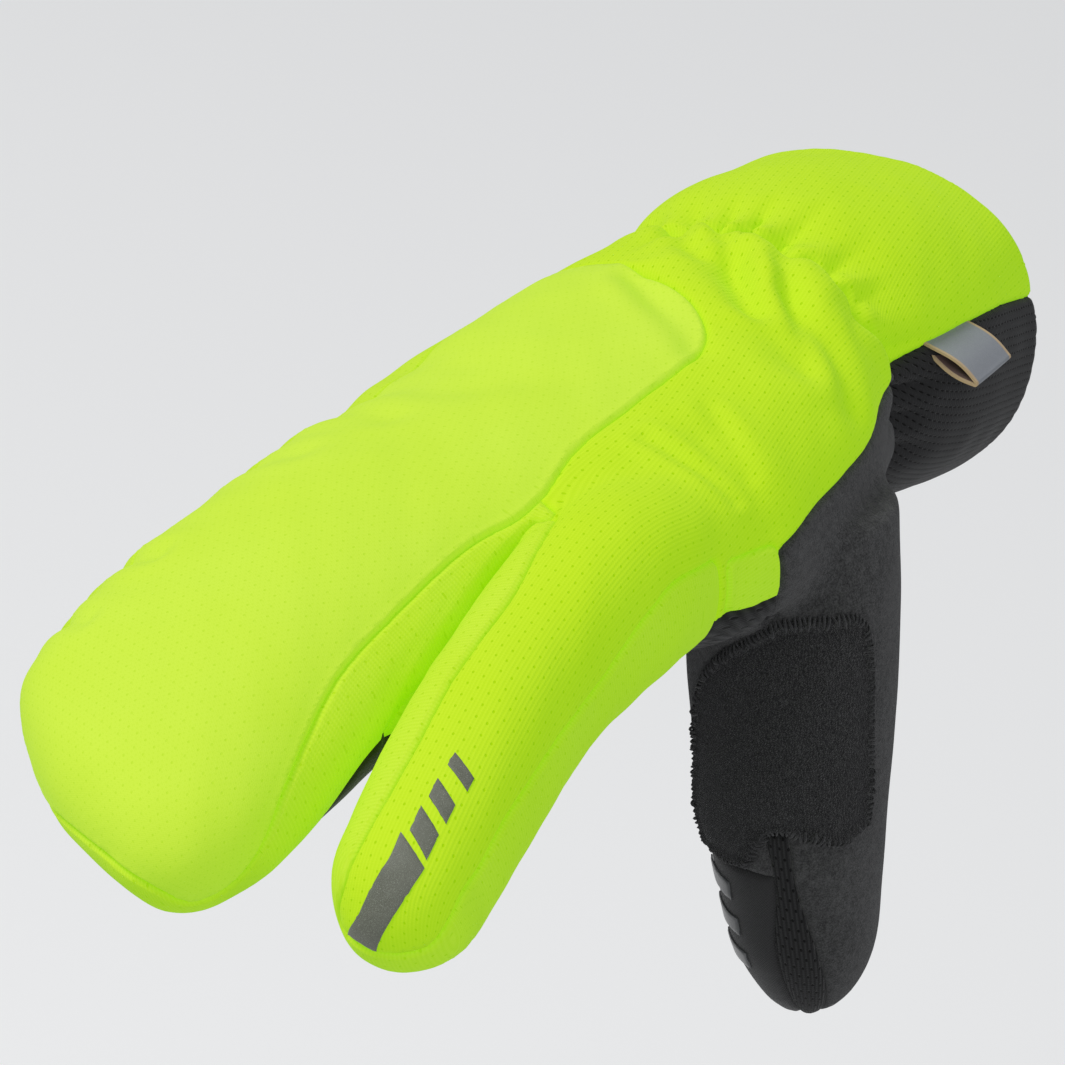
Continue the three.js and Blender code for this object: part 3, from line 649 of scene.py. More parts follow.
def relief(along, angle):
    """The ruffles at the wrist elastic and the folds of the hand, outwards from the fused skin."""
    turn = np.radians((angle + 90) % 360 - 90)
    over = 0.4 + 0.6 * np.clip(0.5 + np.sin(turn), 0, 1)
    phase = RUFFLES * turn + 1.3 * np.sin(3 * turn + 1.0) + 0.9 * np.sin(7 * turn + 0.4)
    line = along - 5 - 1.5 * over * np.sin(phase + 0.8 * np.sin(5 * turn))
    strength = 1 + 0.3 * np.sin(4 * turn + 2.0) + 0.3 * np.sin(9 * turn)
    puff = np.abs(np.cos(phase / 2)) - 0.6
    reach = 12 + 5 * np.sin(5 * turn + 0.5) * np.sin(2 * turn + 0.2)
    height = RUFFLE_DEPTH * over * strength * puff * hill(np.minimum(line, 0), reach) * (line < 0)
    slack = 0.62 * phase + 1.6 * np.sin(2 * turn + 2.0)
    fold = np.abs(np.cos(slack / 2)) - 0.6
    reach = 9 + 4 * np.sin(3 * turn + 1.2)
    height += 0.75 * RUFFLE_DEPTH * over * fold * hill(np.maximum(line, 0), reach) * (line >= 0)
    near = 1 - hill(line, 1.6)
    height = height * near - ELASTIC_DEPTH * over * (1 - near)
    height += 1.1 * over * (hill(line + 5.5, 4) + 0.7 * hill(line - 5, 3.5))
    girth = HAND_WIDTH * HAND_GIRTH
    for at, start, to_at, end, wide, deep in FOLDS + SMALL_FOLDS:
        p = np.array([at * HAND_REACH, math.radians(start) * girth])
        q = np.array([to_at * HAND_REACH, math.radians(end) * girth])
        line = q - p
        point = np.stack([along, turn * girth], -1) - p
        share = np.clip(point @ line / (line @ line), 0, 1)
        away = np.linalg.norm(point - share[:, None] * line, axis=1) / (wide * HAND_DEPTH)
        taper = 0.55 + 0.45 * np.sin(math.pi * np.clip(share + 0.25, 0, 1))
        height -= deep * HAND_DEPTH * taper * (hill(away, 1) - 0.35 * hill(away - 2.1, 1))
    return height


def arc_from(place, top, angle=None):
    """The length of skin from one angle round a branch to each point."""
    turn = np.radians(((place.angle if angle is None else angle) - top + 180) % 360 - 180)
    steps = (np.arange(14) + 0.5) / 14
    angle = math.radians(top) + turn[:, None] * steps
    thick = np.where(np.sin(angle) > 0, place.back[:, None], place.palm[:, None])
    return turn * np.hypot(place.half[:, None] * np.sin(angle), thick * np.cos(angle)).mean(1)


def laid_over(place, branch, top):
    """A branch's cloth map: round it and along it, and straight over its tip."""
    across, along = straightened(place, branch)
    part = max(branch.across, branch.through)
    over = smooth_step((place.share - 1 + part) / part) * smooth_step(np.sin(np.radians(place.angle)) * 3)
    flat = np.degrees(np.arccos(np.clip(across / place.half, -1, 1)))
    return arc_from(place, top, place.angle + over * (flat - place.angle)), along


def cloth_map(points, top, turn=0.0):
    """The lie of the knit: across the ribs and along them, in millimetres."""
    trunk, index = (place_on(branch, points) for branch in (TRUNK, INDEX))
    share = smooth_step(0.5 + (trunk.depth - index.depth) / 22) * smooth_step(index.share / 0.3)
    u, v = laid_over(trunk, TRUNK, top)
    u, v = u + INDEX_ROOT_ARC, v - INDEX_ROOT[1] * HAND_REACH
    c, s = math.cos(turn), math.sin(turn)
    u, v = u * c + v * s, v * c - u * s
    index_u, index_v = laid_over(index, INDEX, top)
    return np.stack([(1 - share) * u + share * index_u, (1 - share) * v + share * index_v], 1)


def own_points(faces, *rows):
    """Faces numbered by the points that they use, and the rows of those points."""
    used, local = np.unique(faces, return_inverse=True)
    return local.reshape(-1, 3), *(row[used] for row in rows)


def border_loops(faces):
    """A piece's border as loops of points in order, and as directed pairs of points."""
    directed = sides_of(faces)
    key = np.sort(directed, 1)
    order = np.lexsort((key[:, 1], key[:, 0]))
    key, directed = key[order], directed[order]
    twin = (key[1:] == key[:-1]).all(1)
    single = ~(np.append(twin, False) | np.insert(twin, 0, False))
    border = directed[single]
    following = {}
    for a, b in border.tolist():
        following.setdefault(a, []).append(b)
    loops = []
    while following:
        first = next(iter(following))
        loop = [first]
        while True:
            options = following.get(loop[-1])
            if not options:
                break
            b = options.pop()
            if not options:
                del following[loop[-1]]
            if b == first:
                break
            loop.append(b)
        if len(loop) > 8:
            loops.append(loop)
    return loops, border


def seam_map(points, gap, branch):
    """The lie of a knit whose ribs stand square on its seams: along them and away from them."""
    place = place_on(branch, points)
    round_tip = smooth_step((place.share - 0.88) / 0.07)
    across = place.half * place.out * np.cos(np.radians(place.angle))
    return np.stack([(1 - round_tip) * place.along + round_tip * (across + branch.reach), gap], 1)


def thumb_map(points):
    """The lie of the cloth round the thumb."""
    place = place_on(THUMB, points)
    return np.stack([arc_from(place, 110), place.along], 1)


def tree_of(points):
    tree = KDTree(len(points))
    for i, p in enumerate(points.tolist()):
        tree.insert(p, i)
    tree.balance()
    return tree


def dense(points, border, steps=5):
    t = np.arange(steps)[:, None, None] / steps
    a, b = points[border[:, 0]], points[border[:, 1]]
    return (a + t * (b - a)).reshape(-1, 3)


def away_from(tree, points):
    return np.array([tree.find(p)[2] for p in points.tolist()])


def mesh_piece(name, points, faces, uv, part, crease=60):
    """A mesh object in metres, with its cloth map and the finish that each face has."""
    mesh = bpy.data.meshes.new(name)
    mesh.vertices.add(len(points))
    mesh.vertices.foreach_set("co", (points * MM).ravel())
    mesh.loops.add(faces.size)
    mesh.loops.foreach_set("vertex_index", faces.ravel().astype(np.int32))
    mesh.polygons.add(len(faces))
    mesh.polygons.foreach_set("loop_start", np.arange(0, faces.size, 3, dtype=np.int32))
    mesh.polygons.foreach_set("use_smooth", np.ones(len(faces), bool))
    mesh.polygons.foreach_set("material_index", part.astype(np.int32))
    layer = mesh.uv_layers.new(name="cloth")
    layer.data.foreach_set("uv", (uv[faces.ravel()] * MM).ravel().astype(np.float32))
    mesh.update()
    mesh.validate()
    mesh.set_sharp_from_angle(angle=math.radians(crease))
    return placed(name, mesh)


def walled(points, inner, faces, border, uv, hem=None):
    """A cloth wall between two skins: its points, its faces, its cloth map and which faces are lining."""
    n = len(points)
    a, b = border.T
    rim = np.concatenate([np.stack([b, a, a + n], 1), np.stack([b, a + n, b + n], 1)])
    inside = faces[:, ::-1] + n
    all_faces = np.concatenate([faces, inside, rim])
    lining = np.ones(len(inside), int) if hem is None else (hem[faces].mean(1) > HEM_REACH).astype(int)
    part = np.concatenate([np.zeros(len(faces), int), lining, np.zeros(len(rim), int)])
    return np.concatenate([points, inner]), all_faces, np.concatenate([uv, uv]), part


# How each sewn piece is finished: its slot, the crown between its seams, a raised lip beside them,
# the angle that its cloth map starts from, how full its padding is, and the branch that its knit is
# laid on by itself
FINISH = {
    "cuff_underside": ("black_knit", 0.7, 0.0, 270, 0.4, None),
    "thumb_gusset": ("black_knit", 0.3, 0.0, 90, 0.3, THUMB),
    "thumb_pad": ("palm_cloth", 0.5, 0.0, 270, 0.4, THUMB),
    "web_gusset": ("edge_knit", 0.4, 0.35, 90, 0.4, None),
    "web_knit": ("black_knit", 0.3, 0.0, 90, 0.3, THUMB),
    "thumb_fleece": ("black_fleece", 0.8, 0.0, 90, 0.5, THUMB),
    "index_gusset": ("edge_knit", 0.6, 0.3, 90, 0.5, INDEX),
    "back_panel": ("smooth_shell", 1.0, 0.32, 90, 0.6, None),
    "palm_panel": ("palm_cloth", 0.7, 0.0, 270, 0.4, None),
    "pouch_gusset": ("edge_knit", 0.7, 0.25, 90, 0.5, TRUNK),
    "knit_panel": ("rib_knit", 0.9, 0.1, 90, 0.6, None),
}

KNIT_TURN = math.radians(INDEX_SPLAY)
INDEX_ROOT_ARC = 28.0

points, mouth, normals, faces, label, names = sewn_pieces()
trunk, index = (place_on(branch, points) for branch in (TRUNK, INDEX))
on_trunk = smooth_step(1 - (np.abs(trunk.depth) - 1.5) / 5)
raised = relief(trunk.along, trunk.angle) * on_trunk
raised += 0.7 * lumps(points, SWELL) + 0.16 * lumps(points, CREASES)
meeting = hill(trunk.depth - index.depth, SLIT_HALF)
meeting *= smooth_step(1 - np.abs(trunk.depth) / 14)
crotch = smooth_step((trunk.share - 0.515) / 0.05) * smooth_step((trunk.angle + 30) / 20)
raised -= SLIT_DEPTH * meeting * crotch
at_end = smooth_step((trunk.share - 0.56) / 0.12) * (trunk.depth < index.depth)
for way, reach, softness in POUCH_FLATS:
    beyond = softness * np.logaddexp(0, (points @ np.array(way) - reach) / softness)
    points = points - (at_end * beyond)[:, None] * np.array(way)
ways = np.concatenate([normals, raised[:, None], mouth[:, None]], 1)
pieces = {}
skins = {}
for number, name in enumerate(names):
    own, p, extras = own_points(faces[label == number], points, ways)
    _, border = border_loops(own)
    at_mouth = np.abs(extras[:, 4][border]).max(1) < 0.02
    seam_tree = tree_of(dense(p, border[~at_mouth]))
    _, crown, lip, top, _, ribs = FINISH[name]
    for distance in (0.45, 1.1):
        gap = away_from(seam_tree, p)
        p, own, extras, _, _ = split(p, own, extras, gap - distance)
    gap = away_from(seam_tree, p)
    _, border = border_loops(own)
    n = unit(extras[:, :3])
    lift, hem = extras[:, 3:].T
    edge = np.exp(-((gap / 0.6) ** 1.5))
    swell = crown * (1 - np.exp(-gap / 7)) - SEAM_DEPTH * edge - 0.3 * np.exp(-gap / 2.5)
    swell += lip * hill(gap - 1.1, 0.55)
    bend = HEM_ROUND * (1 - rounded(hem / HEM_ROUND))
    outer = p + n * (lift + swell - bend)[:, None]
    inner = p + n * (0.6 * lift - WALL + bend)[:, None]
    if ribs is THUMB:
        uv = thumb_map(p)
    elif ribs:
        uv = seam_map(p, gap, ribs)
    else:
        uv = cloth_map(p, top, KNIT_TURN if name == "knit_panel" else 0.0)
    at_hem = hem if hem.min() < 1 else None
    pieces[name] = mesh_piece(name + "_cloth", *walled(outer, inner, own, border, uv, at_hem))
    skins[name] = (outer, p, n, own)


def math_node(operation, swapped=False):
    """A method that works values out with a Math node."""

    def method(self, *others):
        values = (*others, self) if swapped else (self, *others)
        return self.nodes.add("ShaderNodeMath", {"operation": operation}, dict(enumerate(values)))

    return method


class Shade:
    """One value in a tree of nodes, with arithmetic."""

    def __init__(self, nodes, socket):
        self.nodes = nodes
        self.socket = socket

    __add__ = __radd__ = math_node("ADD")
    __mul__ = __rmul__ = math_node("MULTIPLY")
    __sub__ = math_node("SUBTRACT")
    __rsub__ = math_node("SUBTRACT", True)
    __truediv__ = math_node("DIVIDE")
    __rtruediv__ = math_node("DIVIDE", True)
    __abs__ = math_node("ABSOLUTE")
    cosine = math_node("COSINE")
    floor = math_node("FLOOR")
    part = math_node("FRACT")

    def wave(self):
        """1 at whole numbers and 0 half way between them."""
        return (self * (2 * math.pi)).cosine() * 0.5 + 0.5

    def ramp(self, low, high):
        """0 up to low and 1 from high on, or the other way round."""
        inputs = {"Value": self, "From Min": low, "From Max": high}
        return self.nodes.add("ShaderNodeMapRange", {"interpolation_type": "SMOOTHSTEP"}, inputs)


class Nodes:
    """A tree of nodes."""

    def __init__(self, tree):
        self.tree = tree

    def add(self, kind, settings=None, inputs=None, out=0):
        node = self.tree.nodes.new(kind)
        for key, value in (settings or {}).items():
            setattr(node, key, value)
        for key, value in (inputs or {}).items():
            self.set(node.inputs[key], value)
        return Shade(self, node.outputs[out])

    def set(self, socket, value):
        if isinstance(value, Shade):
            self.tree.links.new(value.socket, socket)
        else:
            socket.default_value = value


class Finish(Nodes):
    """A procedural material."""

    def __init__(self, name, **constants):
        self.material = bpy.data.materials.new(name)
        self.material.use_nodes = True
        super().__init__(self.material.node_tree)
        self.tree.nodes.clear()
        self.shader = self.tree.nodes.new("ShaderNodeBsdfPrincipled")
        end = self.tree.nodes.new("ShaderNodeOutputMaterial")
        self.tree.links.new(self.shader.outputs[0], end.inputs[0])
        for key, value in constants.items():
            self.shader.inputs[key.replace("_", " ")].default_value = value

    def give(self, name, value):
        self.set(self.shader.inputs[name], value)

    def across_and_along(self):
        """The cloth map's two distances, in millimetres."""
        cloth = self.add("ShaderNodeUVMap", {"uv_map": "cloth"})
        u, v = (self.add("ShaderNodeSeparateXYZ", {}, {"Vector": cloth}, axis) for axis in "XY")
        return u / MM, v / MM

    def noise(self, size, detail=2.0, roughness=0.5):
        """Noise whose lumps are about size millimetres wide, from 0 to 1."""
        place = self.add("ShaderNodeTexCoord", out="Object")
        inputs = {"Vector": place, "Scale": 1000 / size, "Detail": detail, "Roughness": roughness}
        return self.add("ShaderNodeTexNoise", {}, inputs)

    def mix(self, share, first, second):
        """A colour between two."""
        full = [c if isinstance(c, Shade) else (*c, 1.0) for c in (first, second)]
        return self.add("ShaderNodeMix", {"data_type": "RGBA"}, {0: share, 6: full[0], 7: full[1]}, out=2)

    def made(self, colour, roughness, height, depth, strength=1.0):
        """The material, its surface raised by up to depth millimetres."""
        inputs = {"Height": height, "Distance": depth * MM, "Strength": strength}
        self.give("Base Color", colour)
        self.give("Roughness", roughness)
        self.give("Normal", self.add("ShaderNodeBump", {}, inputs))
        return self.material


YELLOW_LIT = (0.49, 0.44, 0.085)
YELLOW = (0.42, 0.38, 0.035)
# The deep yellow is painted shade: the colour of the grooves, holes and dots of the yellow knits and the
# shell
YELLOW_PAINTED_SHADE = (0.27, 0.27, 0.0)
KNIT_LIT = (0.465, 0.43, 0.042)
KNIT = (0.385, 0.365, 0.008)
# Painted shade for the holes of the black knits and the grooves between their ribs
BLACK_PAINTED_SHADE = (0.001, 0.001, 0.001)
SELVEDGE = (0.50, 0.36, 0.20)
SELVEDGE_WIDTH = 0.8
SUNNY = (0.9, 1.0, 0.15, 1.0)
# What the fluorescent dye adds to the cloth's own colour: a painted glow, a constant emission that keeps the
# yellow bright in shade, with yellow tints for the sheen and the specular
PAINTED_GLOW_AND_TINTS = {
    "Emission_Color": (0.13, 0.42, 0.0, 1.0),
    "Emission_Strength": 1.0,
    "Sheen_Tint": SUNNY,
    "Specular_Tint": SUNNY,
}


def eyelets(u, v, pitch, row, wide, long, lean=0.0, stagger=0.0):
    """Rows of small holes: 1 in a hole and 0 between them."""
    line = (v + u * lean) / row
    shift = (line.floor() * stagger).part() * pitch
    du = (((u + shift) / pitch).part() - 0.5) * (pitch / wide)
    dv = (line.part() - 0.5) * (row / long)
    return (du * du + dv * dv).ramp(1.3, 0.5)


def over_and_under(weft, warp):
    """A plain weave: 1 where both threads are high or both low."""
    return weft * warp + (1 - weft) * (1 - warp)


def knit_finish(name, lit, body, deep, glow_and_tints, rib=0.84, pitch=2.52, row=2.75, holes=0.85,
                ribs=0.32, sheen=0.2, eye=(0.24, 0.3), depth=0.16, lean=0.18, stagger=0.0):
    """Warp knit with fine ribs, small stitches along them and staggered rows of holes."""
    # A painted glow for the yellow knits: a constant emission, with tinted sheen and specular; the black
    # knits get none
    f = Finish(name, Sheen_Weight=sheen, Sheen_Roughness=0.45, Specular_IOR_Level=0.2, **glow_and_tints)
    u, v = f.across_and_along()
    wander = f.noise(7) * 0.3
    hole = eyelets(u + wander, v + wander, pitch, row, *eye, lean, stagger) * holes
    ridge = ((u + wander) / rib).wave()
    stitch = ((v + ridge * 0.18) / 0.62).wave()
    fuzz = f.noise(0.5, 3, 0.6)
    patchy = f.noise(26, 3, 0.55)
    # Painted light: the lit copy of the cloth's colour in random patches, in the fibres and as a highlight
    # on the stitch crests
    colour = f.mix(patchy * 0.5 + fuzz * 0.3 + stitch * 0.12, body, lit)
    # Painted shade: the grooves between the ribs darkened towards the deep colour
    colour = f.mix((1 - ridge) * ribs * 0.7, colour, deep)
    # Painted shade: the holes in the deep colour
    colour = f.mix(hole, colour, deep)
    height = ridge * ribs + stitch * 0.14 + fuzz * 0.3 - hole * 0.8
    return f.made(colour, 0.78 + fuzz * 0.16, height, depth, 0.8)


def shell_finish():
    """The smooth back's fine mesh: rows of dots in diamonds over a closed face."""
    # A painted glow for the shell: a constant emission, with tinted sheen and specular
    f = Finish("smooth_shell", Sheen_Weight=0.15, Sheen_Roughness=0.4, Specular_IOR_Level=0.3, **PAINTED_GLOW_AND_TINTS)
    u, v = f.across_and_along()
    wander = f.noise(9) * 0.25
    dot = eyelets(u + wander, v + wander, 2.6, 2.4, 0.26, 0.3, 0.0, 0.5)
    fine_dot = eyelets(u, v, 1.3, 0.8, 0.24, 0.19, 0.0, 0.5)
    fine = ((u * 0.5 + v) / 0.48).wave() * ((v - u * 0.5) / 0.48).wave()
    fuzz = f.noise(0.45, 3, 0.6)
    patchy = f.noise(34, 3, 0.55)
    # Painted light: the lit copy of the yellow in random patches and fibres
    colour = f.mix(patchy * 0.6 + fuzz * 0.35, YELLOW, YELLOW_LIT)
    # Painted shade in the dots of the mesh
    colour = f.mix(dot * 0.25 + fine_dot * 0.13, colour, YELLOW_PAINTED_SHADE)
    return f.made(colour, 0.66 + fuzz * 0.2, fine * 0.3 + fuzz * 0.25 - dot * 0.6, 0.09, 0.7)


def woven_finish():
    """The palm's close black weave with a fine grain."""
    f = Finish("palm_cloth", Sheen_Weight=0.18, Sheen_Roughness=0.5, Specular_IOR_Level=0.3)
    u, v = f.across_and_along()
    over = over_and_under((u / 0.7).wave(), (v / 0.7).wave())
    fuzz = f.noise(0.35, 3, 0.65)
    tone = over * 0.35 + fuzz * 0.5 + f.noise(18, 3) * 0.15
    colour = f.mix(tone, (0.008, 0.008, 0.0085), (0.032, 0.032, 0.033))
    return f.made(colour, 0.7 + fuzz * 0.14, over * 0.6 + fuzz * 0.5, 0.12, 0.9)


def fleece_finish(name, dark, light, grain, depth):
    """Brushed fibres in tangled specks."""
    f = Finish(name, Sheen_Weight=0.16, Sheen_Roughness=0.6, Specular_IOR_Level=0.1)
    fibres = f.noise(grain, 5, 0.75)
    tufts = f.noise(grain * 4, 3, 0.6)
    tone = (fibres * 0.75 + tufts * 0.35 + f.noise(30, 3) * 0.2).ramp(0.42, 0.9)
    return f.made(f.mix(tone, dark, light), 0.86 + fibres * 0.12, fibres * 0.8 + tufts * 0.7, depth)


def terry_finish():
    """Small tangled loops."""
    f = Finish("wiping_patch", Sheen_Weight=0.12, Sheen_Roughness=0.5, Specular_IOR_Level=0.2)
    u, v = f.across_and_along()
    wander = f.noise(1.1, 3, 0.6) * 2.4
    loops = ((u + wander) / 0.62).wave() * ((v + wander * 1.3) / 0.5).wave()
    fibres = f.noise(0.3, 4, 0.7)
    tufts = f.noise(1.4, 3, 0.6)
    tone = (loops * 0.4 + fibres * 0.6 + tufts * 0.3).ramp(0.35, 1.0)
    colour = f.mix(tone, (0.008, 0.008, 0.009), (0.085, 0.085, 0.087))
    return f.made(colour, 0.88 + fibres * 0.1, loops * 0.8 + fibres * 0.4 + tufts * 0.5, 0.5)


def reflective_finish():
    """Grey film full of tiny glass beads."""
    f = Finish("reflective", Specular_IOR_Level=0.5)
    beads = f.noise(0.16, 2, 0.7).ramp(0.5, 0.72)
    worn = f.noise(3.5, 4, 0.65)
    f.give("Metallic", beads * 0.5)
    colour = f.mix(beads * 0.7 + worn * 0.3, (0.075, 0.08, 0.055), (0.34, 0.36, 0.30))
    return f.made(colour, 0.52 - beads * 0.22, beads + worn * 0.5, 0.05, 0.7)


def grip_finish():
    """Dark printed silicone."""
    f = Finish("grip", Specular_IOR_Level=0.55)
    worn = f.noise(5, 4, 0.6)
    colour = f.mix(worn, (0.035, 0.036, 0.038), (0.10, 0.103, 0.108))
    return f.made(colour, 0.2 + worn * 0.22, f.noise(0.6, 3) * 0.6 + worn, 0.05, 0.5)


def ribbon_finish(name, dark, light):
    """A woven ribbon with paler selvedges, left bare."""
    f = Finish(name, Sheen_Weight=0.2, Specular_IOR_Level=0.35)
    u, v = f.across_and_along()
    over = over_and_under((u / 0.32).wave(), (v / 0.26).wave())
    fuzz = f.noise(0.5, 3)
    selvedge = (abs(v) - (LABEL_WIDTH / 2 - SELVEDGE_WIDTH)).ramp(-0.1, 0.15)
    colour = f.mix(selvedge, f.mix(over * 0.45 + fuzz * 0.4, dark, light), SELVEDGE)
    return f.made(colour, 0.6 + fuzz * 0.2, over * 0.8 + fuzz * 0.3, 0.08, 0.8)


def lining_finish():
    """The soft black inside."""
    f = Finish("lining", Sheen_Weight=0.5, Sheen_Roughness=0.5, Specular_IOR_Level=0.15)
    fibres = f.noise(0.5, 5, 0.75)
    tufts = f.noise(2.5, 3, 0.6)
    colour = f.mix(fibres * 0.6 + tufts * 0.4, (0.012, 0.012, 0.013), (0.05, 0.05, 0.053))
    return f.made(colour, 0.86 + fibres * 0.12, fibres + tufts * 0.8, 0.35)


LINING = lining_finish()
THREAD = fleece_finish("overlock_thread", (0.008, 0.008, 0.009), (0.07, 0.07, 0.072), 0.35, 0.1)
MATERIALS = {
    "smooth_shell": shell_finish(),
    "rib_knit": knit_finish("rib_knit", KNIT_LIT, KNIT, YELLOW_PAINTED_SHADE, PAINTED_GLOW_AND_TINTS),
    "edge_knit": knit_finish(
        "edge_knit", YELLOW_LIT, KNIT, YELLOW_PAINTED_SHADE, PAINTED_GLOW_AND_TINTS, pitch=3.0, row=2.6, holes=0.6, stagger=0.5
    ),
    "palm_cloth": woven_finish(),
    "black_knit": knit_finish(
        "black_knit", (0.042, 0.042, 0.043), (0.02, 0.02, 0.021), BLACK_PAINTED_SHADE, {},
        rib=0.95, pitch=1.9, row=2.3, holes=1.0, ribs=0.9, sheen=0.1, eye=(0.3, 0.42), depth=0.34,
        stagger=0.5,
    ),
    "black_fleece": fleece_finish("black_fleece", (0.010, 0.010, 0.0105), (0.088, 0.088, 0.089), 0.42, 0.38),
    "wiping_patch": terry_finish(),
    "grip": grip_finish(),
    "reflective": reflective_finish(),
    "ribbon": ribbon_finish("ribbon", (0.17, 0.185, 0.21), (0.33, 0.35, 0.385)),
}
CUFF_KNIT = knit_finish(
    "black_knit_cuff", (0.03, 0.03, 0.031), (0.018, 0.018, 0.019), BLACK_PAINTED_SHADE, {},
    rib=1.9, pitch=1.9, row=1.5, holes=1.0, ribs=0.25, sheen=0.1, eye=(0.26, 0.5), depth=0.3, lean=0.3,
)


def dress(piece, node, slot, *more):
    """Gives a piece its finish and its place in the frame."""
    if not len(piece.data.materials):
        piece.data.materials.append(CUFF_KNIT if node == "cuff_underside" else MATERIALS[slot])
    for material in more:
        piece.data.materials.append(material)
    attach(piece, "root")
    if node:
        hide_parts(node)


for name, piece in pieces.items():
    slot, fill = FINISH[name][0], FINISH[name][4]
    dress(piece, name, slot, LINING)


def laid_piece(name, carrier, branch, field, thickness, slot, lift=0.3, rim=0.0):
    """A layer on a sewn piece, inside a field of a branch's skin, and its edge with the ways out of it."""
    outer, base, n, own = skins[carrier]
    sides = field(place_on(branch, base))
    extras = np.concatenate([n, base, np.stack(sides, 1)], 1)
    p, f = outer, own
    for side in range(6, 6 + len(sides)):
        p, f, extras, value, _ = split(p, f, extras, extras[:, side])
        f = f[value[f].sum(1) > 0]
    group = groups(f, np.zeros(len(f), int))
    f = f[group == np.bincount(group).argmax()]
    for distance in (0.35, 0.8):
        f, p, extras = own_points(f, p, extras)
        _, border = border_loops(f)
        tree = tree_of(dense(p, border))
        p, f, extras, _, _ = split(p, f, extras, away_from(tree, p) - distance)
    gap = away_from(tree, p)
    n = unit(extras[:, :3])
    place = place_on(branch, extras[:, 3:6])
    uv = np.stack([arc_from(place, 90), place.along], 1)
    loops, border = border_loops(f)
    round_edge = rounded(gap / min(1.2, thickness + 0.2))
    bead = rim * hill(gap - 1.0, 0.6) - 0.5 * rim * hill(gap - 2.6, 0.6)
    top = p + n * (lift + thickness * (0.35 + 0.65 * round_edge) + bead)[:, None]
    under = p + n * 0.08
    piece = mesh_piece(name + "_layer", *walled(top, under, f, border, uv))
    dress(piece, name, slot, MATERIALS[slot])
    edge = max(loops, key=len)
    return piece, (top[edge], n[edge])


def overlock_nodes(thread, seed):
    """Nodes that loop thread over an edge, a stitch at each pitch, leant and sized at random."""
    tree = bpy.data.node_groups.new("overlock", "GeometryNodeTree")
    tree.interface.new_socket("Edge", in_out="INPUT", socket_type="NodeSocketGeometry")
    for size in STITCH:
        tree.interface.new_socket(size, in_out="INPUT", socket_type="NodeSocketFloat")
    tree.interface.new_socket("Stitches", in_out="OUTPUT", socket_type="NodeSocketGeometry")
    g = Nodes(tree)
    given = tree.nodes.new("NodeGroupInput").outputs
    edge, pitch, thickness, outside, inside, height = (Shade(g, given[name]) for name in ("Edge", *STITCH))

    def corner(across, above):
        return g.add("ShaderNodeCombineXYZ", {}, {"Y": across, "Z": above})

    loop = g.add("GeometryNodeCurveQuadraticBezier", {}, {
        "Resolution": 5,
        "Start": corner(outside * -1, height * -0.25),
        "Middle": corner(inside * 0.3, height),
        "End": corner(inside, height * 0.25),
    })
    ring = g.add("GeometryNodeCurvePrimitiveCircle", {}, {"Resolution": 4, "Radius": thickness})
    stitch = g.add("GeometryNodeCurveToMesh", {}, {"Curve": loop, "Profile Curve": ring, "Fill Caps": True})
    line = g.add("GeometryNodeMeshToCurve", {}, {"Mesh": edge})
    line = g.add("GeometryNodeResampleCurve", {"mode": "LENGTH"}, {"Curve": line, "Length": pitch})
    out = g.add("GeometryNodeInputNamedAttribute", {"data_type": "FLOAT_VECTOR"}, {"Name": "out"})
    axes = {"Primary Axis": out, "Secondary Axis": g.add("GeometryNodeInputTangent")}
    turned = g.add("FunctionNodeAxesToRotation", {"primary_axis": "Z", "secondary_axis": "X"}, axes)
    vector = {"data_type": "FLOAT_VECTOR"}
    lean = g.add("FunctionNodeRandomValue", vector, {0: LEAN_LEAST, 1: LEAN_MOST, "Seed": seed})
    both = {"Rotation": turned, "Rotate By": lean}
    turned = g.add("FunctionNodeRotateRotation", {"rotation_space": "LOCAL"}, both)
    size = g.add("FunctionNodeRandomValue", vector, {0: SMALLEST, 1: LARGEST, "Seed": seed + 1})
    stitches = g.add("GeometryNodeInstanceOnPoints", {}, {
        "Points": line, "Instance": stitch, "Rotation": turned, "Scale": size,
    })
    stitches = g.add("GeometryNodeRealizeInstances", {}, {"Geometry": stitches})
    stitches = g.add("GeometryNodeSetMaterial", {}, {"Geometry": stitches, "Material": thread})
    g.set(tree.nodes.new("NodeGroupOutput").inputs["Stitches"], stitches)
    return tree


def overlock(name, edge, slot, seed):
    """Thread looped over a laid piece's edge, stitch by stitch."""
    line, normal = edge
    count = len(line)
    path = bpy.data.meshes.new(name)
    path.from_pydata((line * MM).tolist(), [(i, (i + 1) % count) for i in range(count)], [])
    path.attributes.new("out", "FLOAT_VECTOR", "POINT").data.foreach_set("vector", normal.ravel())
    piece = placed(name, path)
    sewing = piece.modifiers.new("overlock", "NODES")
    sewing.node_group = overlock_nodes(THREAD, seed)
    for item in sewing.node_group.interface.items_tree:
        if item.name in STITCH:
            sewing[item.identifier] = STITCH[item.name] * MM
    sewn = final_mesh(piece)
    piece.modifiers.clear()
    piece.data = sewn
    dress(piece, None, slot)
    return piece


patch, edge = laid_piece("thumb_patch", "thumb_fleece", THUMB, patch_sides, 0.9, "wiping_patch", rim=0.45)
stitches = overlock("patch_overlock", edge, "wiping_patch", 7)
for i, row in enumerate(GRIPS):
    field = lambda place: slanted(place, row)
    laid_piece(f"thumb_grip_{i + 1}", "thumb_pad", THUMB, field, 0.28, "grip")
for i, row in enumerate([*BARS, None]):
    field = (lambda place: slanted(place, row)) if row else last_bar
    laid_piece(f"reflective_bar_{i + 1}", "knit_panel", INDEX, field, 0.18, "reflective", 0.15)


